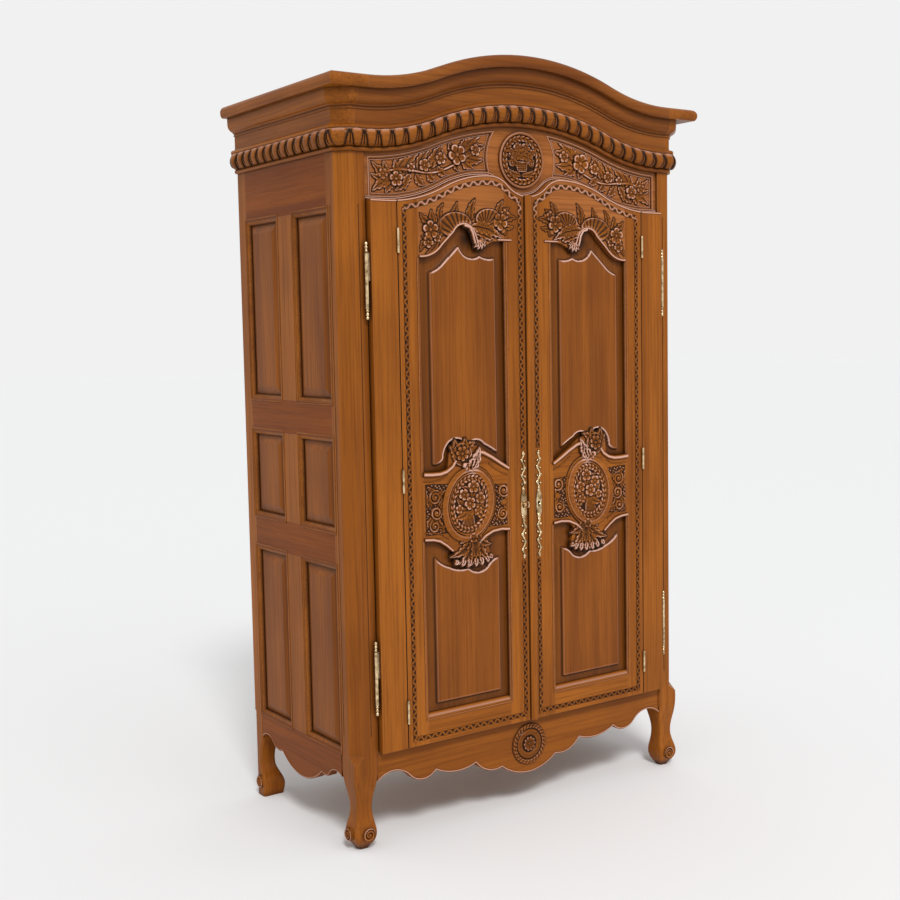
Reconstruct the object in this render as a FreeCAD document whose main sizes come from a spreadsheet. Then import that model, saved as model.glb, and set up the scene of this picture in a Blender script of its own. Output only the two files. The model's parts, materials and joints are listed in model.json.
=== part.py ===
import FreeCAD, Part
import math
import os
import re

Vector = FreeCAD.Vector
Rotation = FreeCAD.Rotation

# Carved two-door armoire with bifold doors. Millimetres, Z up, the front looks along -Y.
# The origin lies on the floor, below the middle of the whole outline.

# Driving sizes: alias, value, meaning
SIZES = [
    ("case_width", 1195, "case over the corner posts"),
    ("case_depth", 590, "case from the posts' front to the wall"),
    ("crown_overhang", 49, "top slab beyond the case, front and sides"),
    ("post_width", 75, "corner post along the front"),
    ("post_depth", 72, "front corner post along the side"),
    ("rear_post_depth", 48, "rear corner post along the side"),
    ("post_cant", 32, "corner taken off the front post"),
    ("leg_height", 262, "floor to the foot of the straight post"),
    ("leg_corner", 7, "rounding of the leg's corners"),
    ("stop_height", 25, "sloping stop that ends the canted corner"),
    ("volute_radius", 19, "scroll boss on the foot"),
    ("volute_height", 45, "scroll boss above the floor"),
    ("volute_proud", 4, "scroll boss in front of the post's face"),
    ("groove_place", 52, "stopped groove from the corner"),
    ("groove_width", 3, "stopped groove"),
    ("groove_depth", 2, "stopped groove"),
    ("groove_top", 1735, "stopped groove's upper end"),
    ("case_top", 2027, "underside of the top slab at the sides"),
    ("board_thickness", 24, "side rails and muntins"),
    ("panels_bottom", 266, "lowest side panel's lower edge"),
    ("lower_panel_height", 508, "lowest row of side panels"),
    ("middle_panel_height", 250, "middle row of side panels"),
    ("upper_panel_height", 510, "top row of side panels"),
    ("rail_height", 96, "side rail between two rows"),
    ("front_column_width", 189, "front column of side panels"),
    ("muntin_width", 96, "upright between the columns"),
    ("panel_recess", 12, "panel ground behind the frame's face"),
    ("panel_thickness", 8, "panel ground"),
    ("field_rise", 9, "raised field above the ground"),
    ("sticking", 12, "moulding at the panel's edge"),
    ("bevel", 24, "slope from the ground to the field"),
    ("front_setback", 6, "frieze and apron behind the posts' face"),
    ("front_thickness", 22, "frieze board and apron"),
    ("frieze_tuck", 12, "frieze and apron behind the doors' edge"),
    ("frieze_margin", 12, "carved field above the doors' line"),
    ("frieze_top_margin", 15, "carved field below the cornice"),
    ("frieze_field_margin", 18.5, "carved field's outer end from the post"),
    ("frieze_field_depth", 4, "carved field below the frieze's face"),
    ("medallion_height", 1877, "medallion's centre"),
    ("medallion_radius", 80, "medallion"),
    ("medallion_thickness", 8, "medallion"),
    ("medallion_rim", 9, "medallion's raised rim"),
    ("medallion_clear", 44, "medallion's edge to the carved field"),
    ("apron_edge", 99, "lowest point of the front apron"),
    ("rosette_height", 185, "rosette's centre"),
    ("rosette_radius", 62, "rosette"),
    ("rosette_thickness", 8, "rosette"),
    ("rosette_rim", 14, "rosette's fluted rim"),
    ("side_apron_edge", 133, "lowest point of the side apron"),
    ("band_height", 157, "cornice mouldings below the slab"),
    ("band_projection", 28, "cornice mouldings beyond the case"),
    ("band_stub", 14, "cornice return along the front"),
    ("slab_height", 33, "top slab"),
    ("slab_inward", 34, "top slab inside the case's face"),
    ("slab_stub", 66, "top slab's return along the front"),
    ("arch_rise", 98, "rise of the arched front"),
    ("arch_level", 68.5, "level part of the arched front from the case's side"),
    ("roof_thickness", 20, "dust board"),
    ("floor_thickness", 20, "bottom board"),
    ("shelf_thickness", 22, "shelf"),
    ("shelf_setback", 46, "shelf behind the posts' face"),
    ("cleat_side", 20, "shelf cleat"),
    ("back_thickness", 12, "back of upright boards"),
    ("back_inset", 2, "back in front of the rear posts' face"),
    ("back_bottom", 210, "back's lower edge"),
    ("back_board", 87, "one board of the back"),
    ("back_groove", 4, "groove between the back's boards"),
    ("door_bottom", 265, "doors' lower edge"),
    ("door_shoulder", 1748, "doors' upper edge at the outer side"),
    ("door_peak", 1828, "doors' highest point"),
    ("door_peak_place", 128, "doors' highest point from the middle"),
    ("door_dip", 1777, "doors' upper edge in the middle"),
    ("door_level", 49, "level part of the doors' upper edge from the outer side"),
    ("door_thickness", 25, "doors"),
    ("door_proud", 20, "doors in front of the posts' face"),
    ("door_clearance", 3.5, "gap between post and door"),
    ("meeting_gap", 3, "gap between the two doors"),
    ("meeting_place", 12, "doors' joint to the left of the middle"),
    ("leaf_gap", 3.4, "gap between outer and main leaf"),
    ("outer_leaf_width", 82, "door's outer edge to the butt hinge axis"),
    ("hinge_stile", 65, "main leaf's stile at the butt hinges"),
    ("lock_stile", 70, "left main leaf's stile at the lock"),
    ("bottom_rail", 74, "main leaf's bottom rail"),
    ("chapeau_height", 1598, "top rail's lowest shoulder"),
    ("chapeau_rise", 90, "top rail's curl above its shoulder"),
    ("cartouche_height", 920, "middle of the carved rail"),
    ("cartouche_half_height", 165, "carved rail's reach above and below"),
    ("oval_long", 104, "oval's long half axis"),
    ("oval_short", 84, "oval's short half axis"),
    ("oval_tilt", 14, "oval's lean in degrees"),
    ("oval_rim", 15, "oval's frame"),
    ("oval_proud", 5, "oval's frame in front of the rail"),
    ("astragal_width", 24, "strip on the meeting stile"),
    ("astragal_proud", 10, "strip in front of the door"),
    ("fiche_inset", 7.5, "fiche hinge axis from the post's inner edge, over the post"),
    ("fiche_forward", 12, "fiche hinge axis in front of the posts' face"),
    ("fiche_radius", 5, "fiche barrel"),
    ("fiche_length", 146, "fiche barrel"),
    ("fiche_low", 400, "lower fiche barrel's foot"),
    ("fiche_high", 1462, "upper fiche barrel's foot"),
    ("fiche_pin", 2.5, "fiche pin's radius"),
    ("fiche_blade", 2, "fiche blade's thickness"),
    ("fiche_blade_reach", 32, "fiche blade from the axis"),
    ("bead_count", 3, "beads at each end of a fiche"),
    ("bead_radius", 4.6, "bead"),
    ("bead_pitch", 9.5, "bead to bead"),
    ("bead_neck", 2.6, "neck between the beads"),
    ("butt_length", 65, "butt hinge"),
    ("butt_radius", 3.5, "butt hinge knuckle"),
    ("butt_pin", 1.5, "butt hinge pin's radius"),
    ("butt_plate", 1.5, "butt hinge plate's thickness"),
    ("butt_plate_depth", 21, "butt hinge plate into the gap"),
    ("butt_low", 334, "lower butt hinge's foot"),
    ("butt_middle", 968, "middle butt hinge's foot"),
    ("butt_high", 1609, "upper butt hinge's foot"),
    ("running_gap", 0.05, "radial clearance of a pin in its knuckle"),
    ("knuckle_gap", 0.3, "gap between two knuckles' ends"),
    ("escutcheon_place", 28, "escutcheon's middle line from the middle"),
    ("escutcheon_foot", 743, "escutcheon's lower end"),
    ("escutcheon_height", 312, "escutcheon"),
    ("escutcheon_width", 24, "escutcheon at its widest"),
    ("escutcheon_thickness", 2, "escutcheon plate"),
    ("keyhole_height", 902, "key's axis"),
    ("keyhole_radius", 4, "keyhole's round"),
    ("keyhole_slot", 4, "keyhole's slot width"),
    ("keyhole_length", 12, "keyhole's slot below the key's axis"),
    ("key_radius", 3, "key's shank"),
    ("key_reach", 16, "middle of the key's bow in front of the door"),
    ("bow_radius", 11, "key's bow"),
    ("bow_hole", 6.5, "hole in the key's bow"),
    ("bow_thickness", 4, "key's bow"),
    ("bit_length", 10, "key's bit from the shank's axis"),
    ("bit_thickness", 3, "key's bit"),
    ("bit_width", 5, "key's bit along the shank"),
    ("lock_width", 62, "lock case"),
    ("lock_height", 84, "lock case"),
    ("lock_depth", 17, "lock case"),
    ("lock_wall", 2, "lock case's wall"),
    ("bolt_height", 22, "lock bolt"),
    ("bolt_thickness", 5, "lock bolt"),
    ("bolt_length", 46, "lock bolt"),
    ("bolt_throw", 12, "lock bolt's travel"),
    ("keep_width", 22, "keep on the other door"),
    ("keep_gap", 1, "clearance round the bolt in its keep"),
    ("fit_gap", 0.4, "clearance round a sliding piece"),
    ("slide_bolt_width", 12, "door bolt"),
    ("slide_bolt_thickness", 6, "door bolt"),
    ("slide_bolt_length", 150, "door bolt"),
    ("slide_bolt_place", 40, "door bolt from the middle"),
    ("slide_bolt_travel", 20, "door bolt's travel"),
    ("slide_bolt_rest", 4, "resting door bolt below the frieze"),
    ("staple_wall", 3, "door bolt's staple"),
    ("staple_height", 12, "door bolt's staple"),
    ("knob_radius", 5, "door bolt's knob"),
    ("knob_length", 12, "door bolt's knob"),
    ("overrun", 5, "cutting tools beyond what they cut"),
]

doc = FreeCAD.newDocument("carved_armoire")
sheet = doc.addObject("Spreadsheet::Sheet", "Sizes")
for row, (alias, number, meaning) in enumerate(SIZES, start=1):
    sheet.set(f"A{row}", meaning)
    sheet.set(f"B{row}", str(number))
    sheet.setAlias(f"B{row}", alias)
doc.recompute()
ALIASES = {alias for alias, number, meaning in SIZES}


def size(alias):
    """The value of one driving size."""
    return float(getattr(sheet, alias))


def bind(thing, **formulas):
    """Ties properties to formulas in the driving sizes' aliases."""
    for name, formula in formulas.items():
        tied = re.sub(r"[a-z_]+", lambda word: ("Sizes." if word.group() in ALIASES else "") + word.group(),
                      formula)
        thing.setExpression(name, tied)


# Places that follow from the driving sizes
HALF = size("case_width") / 2
FRONT = (size("crown_overhang") - size("case_depth")) / 2
BACK = FRONT + size("case_depth")
POST_INNER = HALF - size("post_width")
DOOR_FRONT = FRONT - size("door_proud")
DOOR_BACK = DOOR_FRONT + size("door_thickness")
FACE = FRONT + size("front_setback")
BAND_BOTTOM = size("case_top") - size("band_height")
ARCH_SPAN = HALF - size("arch_level")
DOOR_EDGE = POST_INNER - size("door_clearance")
BUTT_PLACE = DOOR_EDGE - size("outer_leaf_width")
MAIN_OUTER = BUTT_PLACE - size("leaf_gap") / 2
LEFT_EDGE = -size("meeting_place") - size("meeting_gap") / 2
RIGHT_EDGE = LEFT_EDGE + size("meeting_gap")
OPENING_OUTER = MAIN_OUTER - size("hinge_stile")
OPENING_INNER = size("lock_stile") - LEFT_EDGE
OPENING_WIDTH = OPENING_OUTER - OPENING_INNER
FICHE_AXIS = Vector(-POST_INNER - size("fiche_inset"), FRONT - size("fiche_forward"), 0)
BUTT_AXIS = Vector(-BUTT_PLACE, DOOR_FRONT - size("butt_radius"), 0)
ROW_HEIGHTS = ["lower_panel_height", "middle_panel_height", "upper_panel_height"]
ARC = "arc"

# Outlines as shares of the sizes that they follow. A point marked ARC bends its run.
BAND_SHARES = [
    (0.18, 0.0), (0.32, 0.035, ARC), (0.18, 0.075), (0.30, 0.085),
    (0.78, 0.200, ARC), (0.50, 0.335), (0.43, 0.345), (0.68, 0.385, ARC), (0.48, 0.425),
    (0.30, 0.435, ARC), (0.20, 0.465), (0.20, 0.680), (0.32, 0.685), (0.32, 0.705),
    (0.26, 0.710), (0.26, 0.730), (0.40, 0.735), (0.42, 0.755), (0.84, 0.810, ARC),
    (0.98, 0.900), (1.0, 1.0),
]
SLAB_SHARES = [
    (0.0, 0.0), (0.93, 0.0), (0.981, 0.181, ARC), (1.0, 0.40), (1.0, 0.50), (0.958, 0.813, ARC), (0.85, 1.0),
    (0.0, 1.0),
]
APRON_SHARES = [
    (0.0, 0.0, ARC), (0.193, 0.197), (0.270, 0.188, ARC), (0.370, 0.376), (0.450, 0.320, ARC),
    (0.634, 0.424), (0.724, 0.326, ARC), (0.805, 0.444), (0.910, 0.573, ARC), (1.0, 0.466),
]
SIDE_APRON_SHARES = [
    (0.0, 0.46), (0.075, 0.52, ARC), (0.151, 0.34), (0.19, 0.31, ARC), (0.232, 0.335),
    (0.480, 0.0, ARC), (0.734, 0.335), (0.790, 0.305, ARC), (0.850, 0.39), (0.935, 0.53, ARC), (1.0, 0.43),
]
LEG_SHARES = [
    (1.0, 0.0, 0.0), (0.90, 0.0, 0.0), (0.80, 0.0, 0.005), (0.70, 0.03, 0.05),
    (0.60, 0.09, 0.13), (0.48, 0.155, 0.20), (0.38, 0.15, 0.20), (0.28, 0.07, 0.15),
    (0.20, 0.0, 0.11), (0.12, 0.02, 0.13), (0.05, 0.16, 0.24), (0.0, 0.27, 0.34),
]
REAR_LEG_SHARES = [
    (1.0, 0.0, 0.0), (0.90, 0.0, 0.0), (0.80, 0.0, 0.0), (0.71, 0.0, 0.05),
    (0.61, 0.0, 0.23), (0.48, 0.0, 0.35), (0.33, 0.0, 0.32), (0.23, 0.0, 0.16),
    (0.15, 0.0, 0.05), (0.06, 0.0, 0.06), (0.0, 0.0, 0.10),
]
CHAPEAU_SHARES = [
    (0.0, 0.0), (0.157, 0.10, ARC), (0.262, 0.367), (0.402, 0.78), (0.538, 1.0, ARC), (0.629, 0.78),
    (0.671, 0.44), (0.717, 0.34, ARC), (0.769, 0.40), (0.864, 0.54), (1.0, 0.54),
]
CARTOUCHE_TOP_SHARES = [
    (1.0, 0.545), (0.934, 0.62), (0.801, 0.788), (0.650, 0.97), (0.507, 1.0), (0.378, 1.02, ARC),
    (0.297, 0.848), (0.280, 0.594), (0.220, 0.54, ARC), (0.0, 0.556),
]
CARTOUCHE_BOTTOM_SHARES = [
    (0.0, -0.533), (0.170, -0.58, ARC), (0.322, -0.745), (0.450, -0.925), (0.594, -1.0, ARC),
    (0.769, -0.879), (0.735, -0.636), (0.850, -0.49, ARC), (1.0, -0.525),
]
FIELD_TOP_SHARES = [(0.0, 0.0), (0.25, 0.22, ARC), (0.45, 1.0), (0.50, 0.60, ARC), (0.62, 0.44), (1.0, 0.44)]
ESCUTCHEON_SHARES = [
    (0.0, 0.0), (0.55, 0.03, ARC), (0.22, 0.065), (0.75, 0.11, ARC), (0.30, 0.165), (0.62, 0.20, ARC),
    (0.28, 0.25), (0.90, 0.31, ARC), (0.40, 0.375), (1.0, 0.5, ARC), (0.40, 0.625), (0.90, 0.69, ARC),
    (0.28, 0.75), (0.62, 0.80, ARC), (0.30, 0.835), (0.75, 0.89, ARC), (0.22, 0.935), (0.55, 0.97, ARC),
    (0.0, 1.0),
]
MEDALLION_DOME_SHARE = 0.75
ROSETTE_EYE_SHARE = 0.25
CURL_SHARE = 0.8
PIN_SHARE = 0.9
BORE_SHARE = 0.45
KEEP_SHARE = 0.5
STAPLE_SHARES = (0.15, 0.75)
ARCH_CONVEX_SHARE = 0.57
SHOULDER_CONCAVE_SHARE = 0.55
PEAK_CONVEX_SHARE = 0.46

pieces = {}


def keep(node, thing):
    """Files a finished object under its node's name."""
    thing.Label = node
    pieces[node] = thing
    return thing


def board(name, low, length, width, height):
    """A plain board, its low corner a place, its sizes formulas in the driving sizes."""
    box = doc.addObject("Part::Box", name)
    bind(box, Length=length, Width=width, Height=height)
    box.Placement.Base = Vector(*low)
    return box


def cylinder(name, base, direction, radius, height):
    """A round bar from its base along a direction, its radius and height formulas."""
    bar = doc.addObject("Part::Cylinder", name)
    bind(bar, Radius=radius, Height=height)
    bar.Placement = FreeCAD.Placement(base, Rotation(Vector(0, 0, 1), direction))
    return bar


def boolean(kind, name, base, tools):
    """A chain of cuts, fusions or commons of one base with each tool."""
    for count, tool in enumerate(tools):
        result = doc.addObject("Part::" + kind, f"{name}_{kind.lower()}{count}")
        result.Base = base
        result.Tool = tool
        base = result
    return base


def group(name, members):
    """Separate solids that share one node."""
    compound = doc.addObject("Part::Compound", name)
    compound.Links = members
    return compound


def mirror(name, source):
    """The right-hand twin of a left-hand object."""
    twin = doc.addObject("Part::Mirroring", name)
    twin.Source = source
    twin.Normal = Vector(1, 0, 0)
    return twin


def formed(name, shape):
    """An object that carries a shape worked out here."""
    feature = doc.addObject("Part::Feature", name)
    feature.Shape = shape
    return feature


def scaled(shares, width, height, start=(0, 0)):
    """Turns an outline's shares into places."""
    return [(start[0] + p[0] * width, start[1] + p[1] * height) + tuple(p[2:]) for p in shares]


def curves_through(points, closed=True):
    """Lines from point to point, and arcs where a point between is marked ARC."""
    curves = []
    start = points[0]
    middle = None
    for point in points[1:] + (points[:1] if closed else []):
        if len(point) == 3:
            middle = point
            continue
        first = Vector(start[0], start[1], 0)
        last = Vector(point[0], point[1], 0)
        if middle is None:
            curves.append(Part.LineSegment(first, last))
        else:
            curves.append(Part.Arc(first, Vector(middle[0], middle[1], 0), last))
        start = point
        middle = None
    return curves


def s_bend(start, end, first_share):
    """Two tangent arcs from start to end, level at both, as points after the start."""
    run = end[0] - start[0]
    rise = end[1] - start[1]
    turn = 2 * math.atan2(abs(rise), abs(run))
    knee = (start[0] + first_share * run, start[1] + first_share * rise)

    def halfway(place, share, sign):
        radius = share * abs(run) / math.sin(turn)
        across = radius * math.sin(turn / 2)
        along = radius * (1 - math.cos(turn / 2))
        aside = sign * math.copysign(across, run)
        return (place[0] + aside, place[1] + sign * math.copysign(along, rise), ARC)

    return [halfway(start, first_share, 1), knee, halfway(end, 1 - first_share, -1), end]


def arch_line(level, reach):
    """The arched front's line from left to right, level beyond its half span."""
    top = (0, level + size("arch_rise"))
    left = [(-reach, level), (-ARCH_SPAN, level)] if reach > ARCH_SPAN else [(-ARCH_SPAN, level)]
    right = [(reach, level)] if reach > ARCH_SPAN else []
    rise = s_bend((-ARCH_SPAN, level), top, 1 - ARCH_CONVEX_SHARE)
    return left + rise + s_bend(top, (ARCH_SPAN, level), ARCH_CONVEX_SHARE) + right


def door_line(lift, outer):
    """The doors' upper line from the outer edge of the left door to the middle."""
    shoulder = size("door_shoulder") + lift
    level_end = (size("door_level") - DOOR_EDGE, shoulder)
    peak = (-size("door_peak_place"), size("door_peak") + lift)
    dip = (0, size("door_dip") + lift)
    slope = s_bend(level_end, peak, SHOULDER_CONCAVE_SHARE)
    return [(-outer, shoulder), level_end] + slope + s_bend(peak, dip, PEAK_CONVEX_SHARE)


def mirrored_points(points):
    """The same points on the other side, in the other order."""
    return [(-p[0],) + tuple(p[1:]) for p in reversed(points)]


def origin_plane(body, role):
    """One of a body's own origin planes."""
    return next(item for item in body.Origin.OriginFeatures if item.Role == role)


def sketched(body, role, name, curves):
    """A sketch of the given curves on an origin plane of its body."""
    sketch = body.newObject("Sketcher::SketchObject", name)
    sketch.AttachmentSupport = [(origin_plane(body, role), "")]
    sketch.MapMode = "FlatFace"
    for curve in curves:
        sketch.addGeometry(curve, False)
    return sketch


def padded(name, role, points, length, place):
    """A body padded from one outline: forwards from XZ, to the right from YZ, upwards from XY."""
    body = doc.addObject("PartDesign::Body", name)
    sketch = sketched(body, role, name + "_outline", curves_through(points))
    pad = body.newObject("PartDesign::Pad", name + "_pad")
    pad.Profile = sketch
    bind(pad, Length=length)
    body.Placement.Base = Vector(*place)
    return body


def piped(name, section_role, section, path_role, path, mode, corner, place):
    """A body made by carrying a section along a path."""
    body = doc.addObject("PartDesign::Body", name)
    profile = sketched(body, section_role, name + "_section", curves_through(section))
    spine = sketched(body, path_role, name + "_path", curves_through(path, closed=False))
    pipe = body.newObject("PartDesign::AdditivePipe", name + "_pipe")
    pipe.Profile = profile
    pipe.Spine = spine
    pipe.Mode = mode
    pipe.Transition = corner
    body.Placement.Base = Vector(*place)
    return body


def turned(name, outline, place, axis):
    """A body of revolution: its outline gives radius and height, its axis a direction."""
    body = doc.addObject("PartDesign::Body", name)
    sketch = sketched(body, "XZ_Plane", name + "_outline", curves_through(outline))
    spin = body.newObject("PartDesign::Revolution", name + "_spin")
    spin.Profile = sketch
    spin.ReferenceAxis = (sketch, ["V_Axis"])
    spin.Angle = 360
    body.Placement = FreeCAD.Placement(place, Rotation(Vector(0, 0, 1), axis))
    return body


def rounded_rectangle(low, high, level, radius):
    """A level wire with round corners between two plan points."""
    corners = [(low[0], low[1], 1, 1), (high[0], low[1], -1, 1), (high[0], high[1], -1, -1),
               (low[0], high[1], 1, -1)]
    diagonal = radius * (1 - math.sqrt(0.5))
    edges = []
    ends = []
    for count, (x, y, inward_x, inward_y) in enumerate(corners):
        along_y = Vector(x, y + inward_y * radius, level)
        along_x = Vector(x + inward_x * radius, y, level)
        middle = Vector(x + inward_x * diagonal, y + inward_y * diagonal, level)
        first, last = (along_y, along_x) if count % 2 == 0 else (along_x, along_y)
        edges.append(Part.Arc(first, middle, last).toShape())
        ends.append((first, last))
    sides = [Part.LineSegment(ends[i][1], ends[(i + 1) % 4][0]).toShape() for i in range(4)]
    return Part.Wire([edge for pair in zip(edges, sides) for edge in pair])


def leg(name, depth, front_leg):
    """The curved leg below a left post, with scroll bosses on its outer faces."""
    wires = []
    width = size("post_width")
    for height_share, outer_share, inner_share in LEG_SHARES if front_leg else REAR_LEG_SHARES:
        x_low = -HALF + outer_share * width
        x_high = -POST_INNER - inner_share * width
        if front_leg:
            y_low = FRONT + outer_share * depth
            y_high = FRONT + depth - inner_share * depth
        else:
            y_low = BACK - depth + inner_share * depth
            y_high = BACK
        level = height_share * size("leg_height")
        wires.append(rounded_rectangle((x_low, y_low), (x_high, y_high), level, size("leg_corner")))
    curved = formed(name + "_curve", Part.makeLoft(wires, True, False))
    boss = "volute_proud + post_width / 4"
    middle_x = -HALF + width / 2
    side_y = FRONT + depth / 2 if front_leg else BACK - depth / 2
    place = Vector(-HALF - size("volute_proud"), side_y, size("volute_height"))
    bosses = [cylinder(name + "_side_boss", place, Vector(1, 0, 0), "volute_radius", boss)]
    if front_leg:
        place = Vector(middle_x, FRONT - size("volute_proud"), size("volute_height"))
        bosses.append(cylinder(name + "_front_boss", place, Vector(0, 1, 0), "volute_radius", boss))
    return boolean("Fuse", name, curved, bosses)


def fiche_blade(name, foot, to_post):
    """The flat blade of a fiche half: backwards into the post, or sideways into the leaf."""
    half = size("fiche_blade") / 2
    height = "fiche_length / 2 - knuckle_gap"
    if to_post:
        low = (FICHE_AXIS.x - half, FICHE_AXIS.y, foot)
        return board(name, low, "fiche_blade", "fiche_blade_reach", height)
    low = (FICHE_AXIS.x, FICHE_AXIS.y - half, foot)
    return board(name, low, "fiche_blade_reach", "fiche_blade", height)


def bead_run(name, start, direction):
    """A turned row of beads that goes up or down from a barrel's end."""
    neck = size("bead_neck")
    pitch = size("bead_pitch")
    outline = [(0, 0), (neck, 0)]
    for number in range(int(size("bead_count"))):
        low = number * pitch
        outline += [(size("bead_radius"), low + pitch / 2, ARC), (neck, low + pitch)]
    outline.append((0, outline[-1][1]))
    return turned(name, outline, start, direction)


def fiche_half(name, foot, to_post):
    """One half of a fiche hinge: knuckle, beads and blade; the post's half also has the pin."""
    half_length = size("fiche_length") / 2
    up = Vector(0, 0, 1)
    base = Vector(FICHE_AXIS.x, FICHE_AXIS.y, foot if to_post else foot + half_length + size("knuckle_gap"))
    knuckle = cylinder(name + "_knuckle", base, up, "fiche_radius", "fiche_length / 2 - knuckle_gap")
    blade = fiche_blade(name + "_blade", base.z, to_post)
    if to_post:
        beads = bead_run(name + "_beads", base, -up)
        pin = cylinder(name + "_pin", base, up, "fiche_pin", f"fiche_length * {PIN_SHARE}")
        return boolean("Fuse", name, knuckle, [blade, beads, pin])
    top = base + up * (half_length - size("knuckle_gap"))
    beads = bead_run(name + "_beads", top, up)
    bore = cylinder(name + "_bore", base - up * size("knuckle_gap"), up,
                    "fiche_pin + running_gap", f"fiche_length * {BORE_SHARE}")
    return boolean("Cut", name, boolean("Fuse", name, knuckle, [blade, beads]), [bore])


def butt_half(name, foot, outer):
    """One half of a butt hinge in the gap of the leaves; the outer half holds the pin."""
    up = Vector(0, 0, 1)
    thirds = [0, 2] if outer else [1]
    plate_x = BUTT_AXIS.x + (-size("running_gap") - size("butt_plate") if outer else size("running_gap"))
    plate = board(name + "_plate", (plate_x, BUTT_AXIS.y + size("butt_radius") + size("knuckle_gap"), foot),
                  "butt_plate", "butt_plate_depth", "butt_length")
    parts = []
    for third in thirds:
        low = foot + third * size("butt_length") / 3
        base = Vector(BUTT_AXIS.x, BUTT_AXIS.y, low + (size("knuckle_gap") / 2 if third else 0))
        height = "butt_length / 3 - knuckle_gap / 2" if third != 1 else "butt_length / 3 - knuckle_gap"
        parts.append(cylinder(f"{name}_knuckle{third}", base, up, "butt_radius", height))
        parts.append(board(f"{name}_neck{third}", (plate_x, BUTT_AXIS.y, base.z),
                           "butt_plate", "butt_radius + 2 * knuckle_gap", height))
    solid = boolean("Fuse", name, plate, parts)
    pin_base = Vector(BUTT_AXIS.x, BUTT_AXIS.y, foot)
    if outer:
        pin = cylinder(name + "_pin", pin_base, up, "butt_pin", "butt_length")
        return boolean("Fuse", name + "_pinned", solid, [pin])
    bore = cylinder(name + "_bore", pin_base, up, "butt_pin + running_gap", "butt_length")
    return boolean("Cut", name, solid, [bore])


def cant_stop():
    """The corner that the carver slopes off below a left post's canted face, down to one point of its leg."""
    cant = size("post_cant")
    level = size("leg_height")
    corners = [Vector(-HALF + cant, FRONT, level), Vector(-HALF, FRONT + cant, level),
               Vector(-HALF, FRONT, level), Vector(-HALF, FRONT, level - size("stop_height"))]
    faces = []
    for left_out in range(4):
        triangle = [corner for number, corner in enumerate(corners) if number != left_out]
        faces.append(Part.Face(Part.makePolygon(triangle + triangle[:1])))
    return formed("cant_stop", Part.Solid(Part.Shell(faces)))


def make_front_posts():
    """Front corner posts with a canted corner, stopped grooves, hinge slots and legs."""
    cant = size("post_cant")
    section = [(-HALF, FRONT + cant), (-HALF + cant, FRONT), (-POST_INNER, FRONT),
               (-POST_INNER, FRONT + size("post_depth")), (-HALF, FRONT + size("post_depth"))]
    foot = (0, 0, size("leg_height"))
    shaft = padded("front_post_shaft", "XY_Plane", section, "case_top - leg_height", foot)
    below = boolean("Cut", "stopped_leg", leg("front_leg", size("post_depth"), True), [cant_stop()])
    post = boolean("Fuse", "front_post", shaft, [below])
    low = size("leg_height") + size("groove_place")
    length = "groove_top - leg_height - groove_place"
    grooves = [
        board("front_groove", (-HALF + size("groove_place"), FRONT - size("overrun"), low),
              "groove_width", "overrun + groove_depth", length),
        board("side_groove", (-HALF - size("overrun"), FRONT + size("groove_place"), low),
              "overrun + groove_depth", "groove_width", length),
    ]
    feet = ["fiche_low", "fiche_high"]
    slots = [fiche_blade(f"post_slot{n}", size(alias), True) for n, alias in enumerate(feet)]
    post = boolean("Cut", "slotted_post", post, grooves + slots)
    keep("left_front_post", post)
    keep("right_front_post", mirror("right_front_post", post))


def make_rear_posts():
    """Rear corner posts with shorter legs, flat towards the wall."""
    shaft = board("rear_post_shaft", (-HALF, BACK - size("rear_post_depth"), size("leg_height")),
                  "post_width", "rear_post_depth", "case_top - roof_thickness - leg_height")
    post = boolean("Fuse", "rear_post", shaft, [leg("rear_leg", size("rear_post_depth"), False)])
    keep("left_rear_post", post)
    keep("right_rear_post", mirror("right_rear_post", post))


def row_bottoms():
    """Heights at which the side panels' rows start."""
    heights = [size("panels_bottom")]
    for alias in ROW_HEIGHTS[:2]:
        heights.append(heights[-1] + size(alias) + size("rail_height"))
    return heights


def make_side_frames():
    """Rails, muntins and the scalloped lower rail of each side."""
    start = FRONT + size("post_depth")
    run = "case_depth - post_depth - rear_post_depth"
    bottoms = row_bottoms()
    rails = []
    for number in (1, 2):
        low = (-HALF, start, bottoms[number] - size("rail_height"))
        rails.append(board(f"side_rail{number}", low, "board_thickness", run, "rail_height"))
    top = "case_top - roof_thickness - panels_bottom - 2 * rail_height"
    top += " - lower_panel_height - middle_panel_height - upper_panel_height"
    rails.append(board("side_top_rail", (-HALF, start, bottoms[2] + size("upper_panel_height")),
                       "board_thickness", run, top))
    rails = group("left_side_rails", rails)
    keep("left_side_rails", rails)
    keep("right_side_rails", mirror("right_side_rails", rails))
    muntin_y = start + size("front_column_width")
    muntins = [board(f"side_muntin{n}", (-HALF, muntin_y, bottoms[n]),
                     "board_thickness", "muntin_width", alias) for n, alias in enumerate(ROW_HEIGHTS)]
    muntins = group("left_side_muntins", muntins)
    keep("left_side_muntins", muntins)
    keep("right_side_muntins", mirror("right_side_muntins", muntins))
    depth = size("case_depth") - size("post_depth") - size("rear_post_depth")
    drop = size("panels_bottom") - size("side_apron_edge")
    edge = scaled(SIDE_APRON_SHARES, depth, drop, (start, size("side_apron_edge")))
    outline = edge + [(start + depth, size("panels_bottom")), (start, size("panels_bottom"))]
    apron = padded("side_apron", "YZ_Plane", outline, "board_thickness", (-HALF, 0, 0))
    apron = boolean("Cut", "fitted_side_apron", apron, [pieces["left_front_post"], pieces["left_rear_post"]])
    keep("left_side_apron", apron)
    keep("right_side_apron", mirror("right_side_apron", apron))


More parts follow.
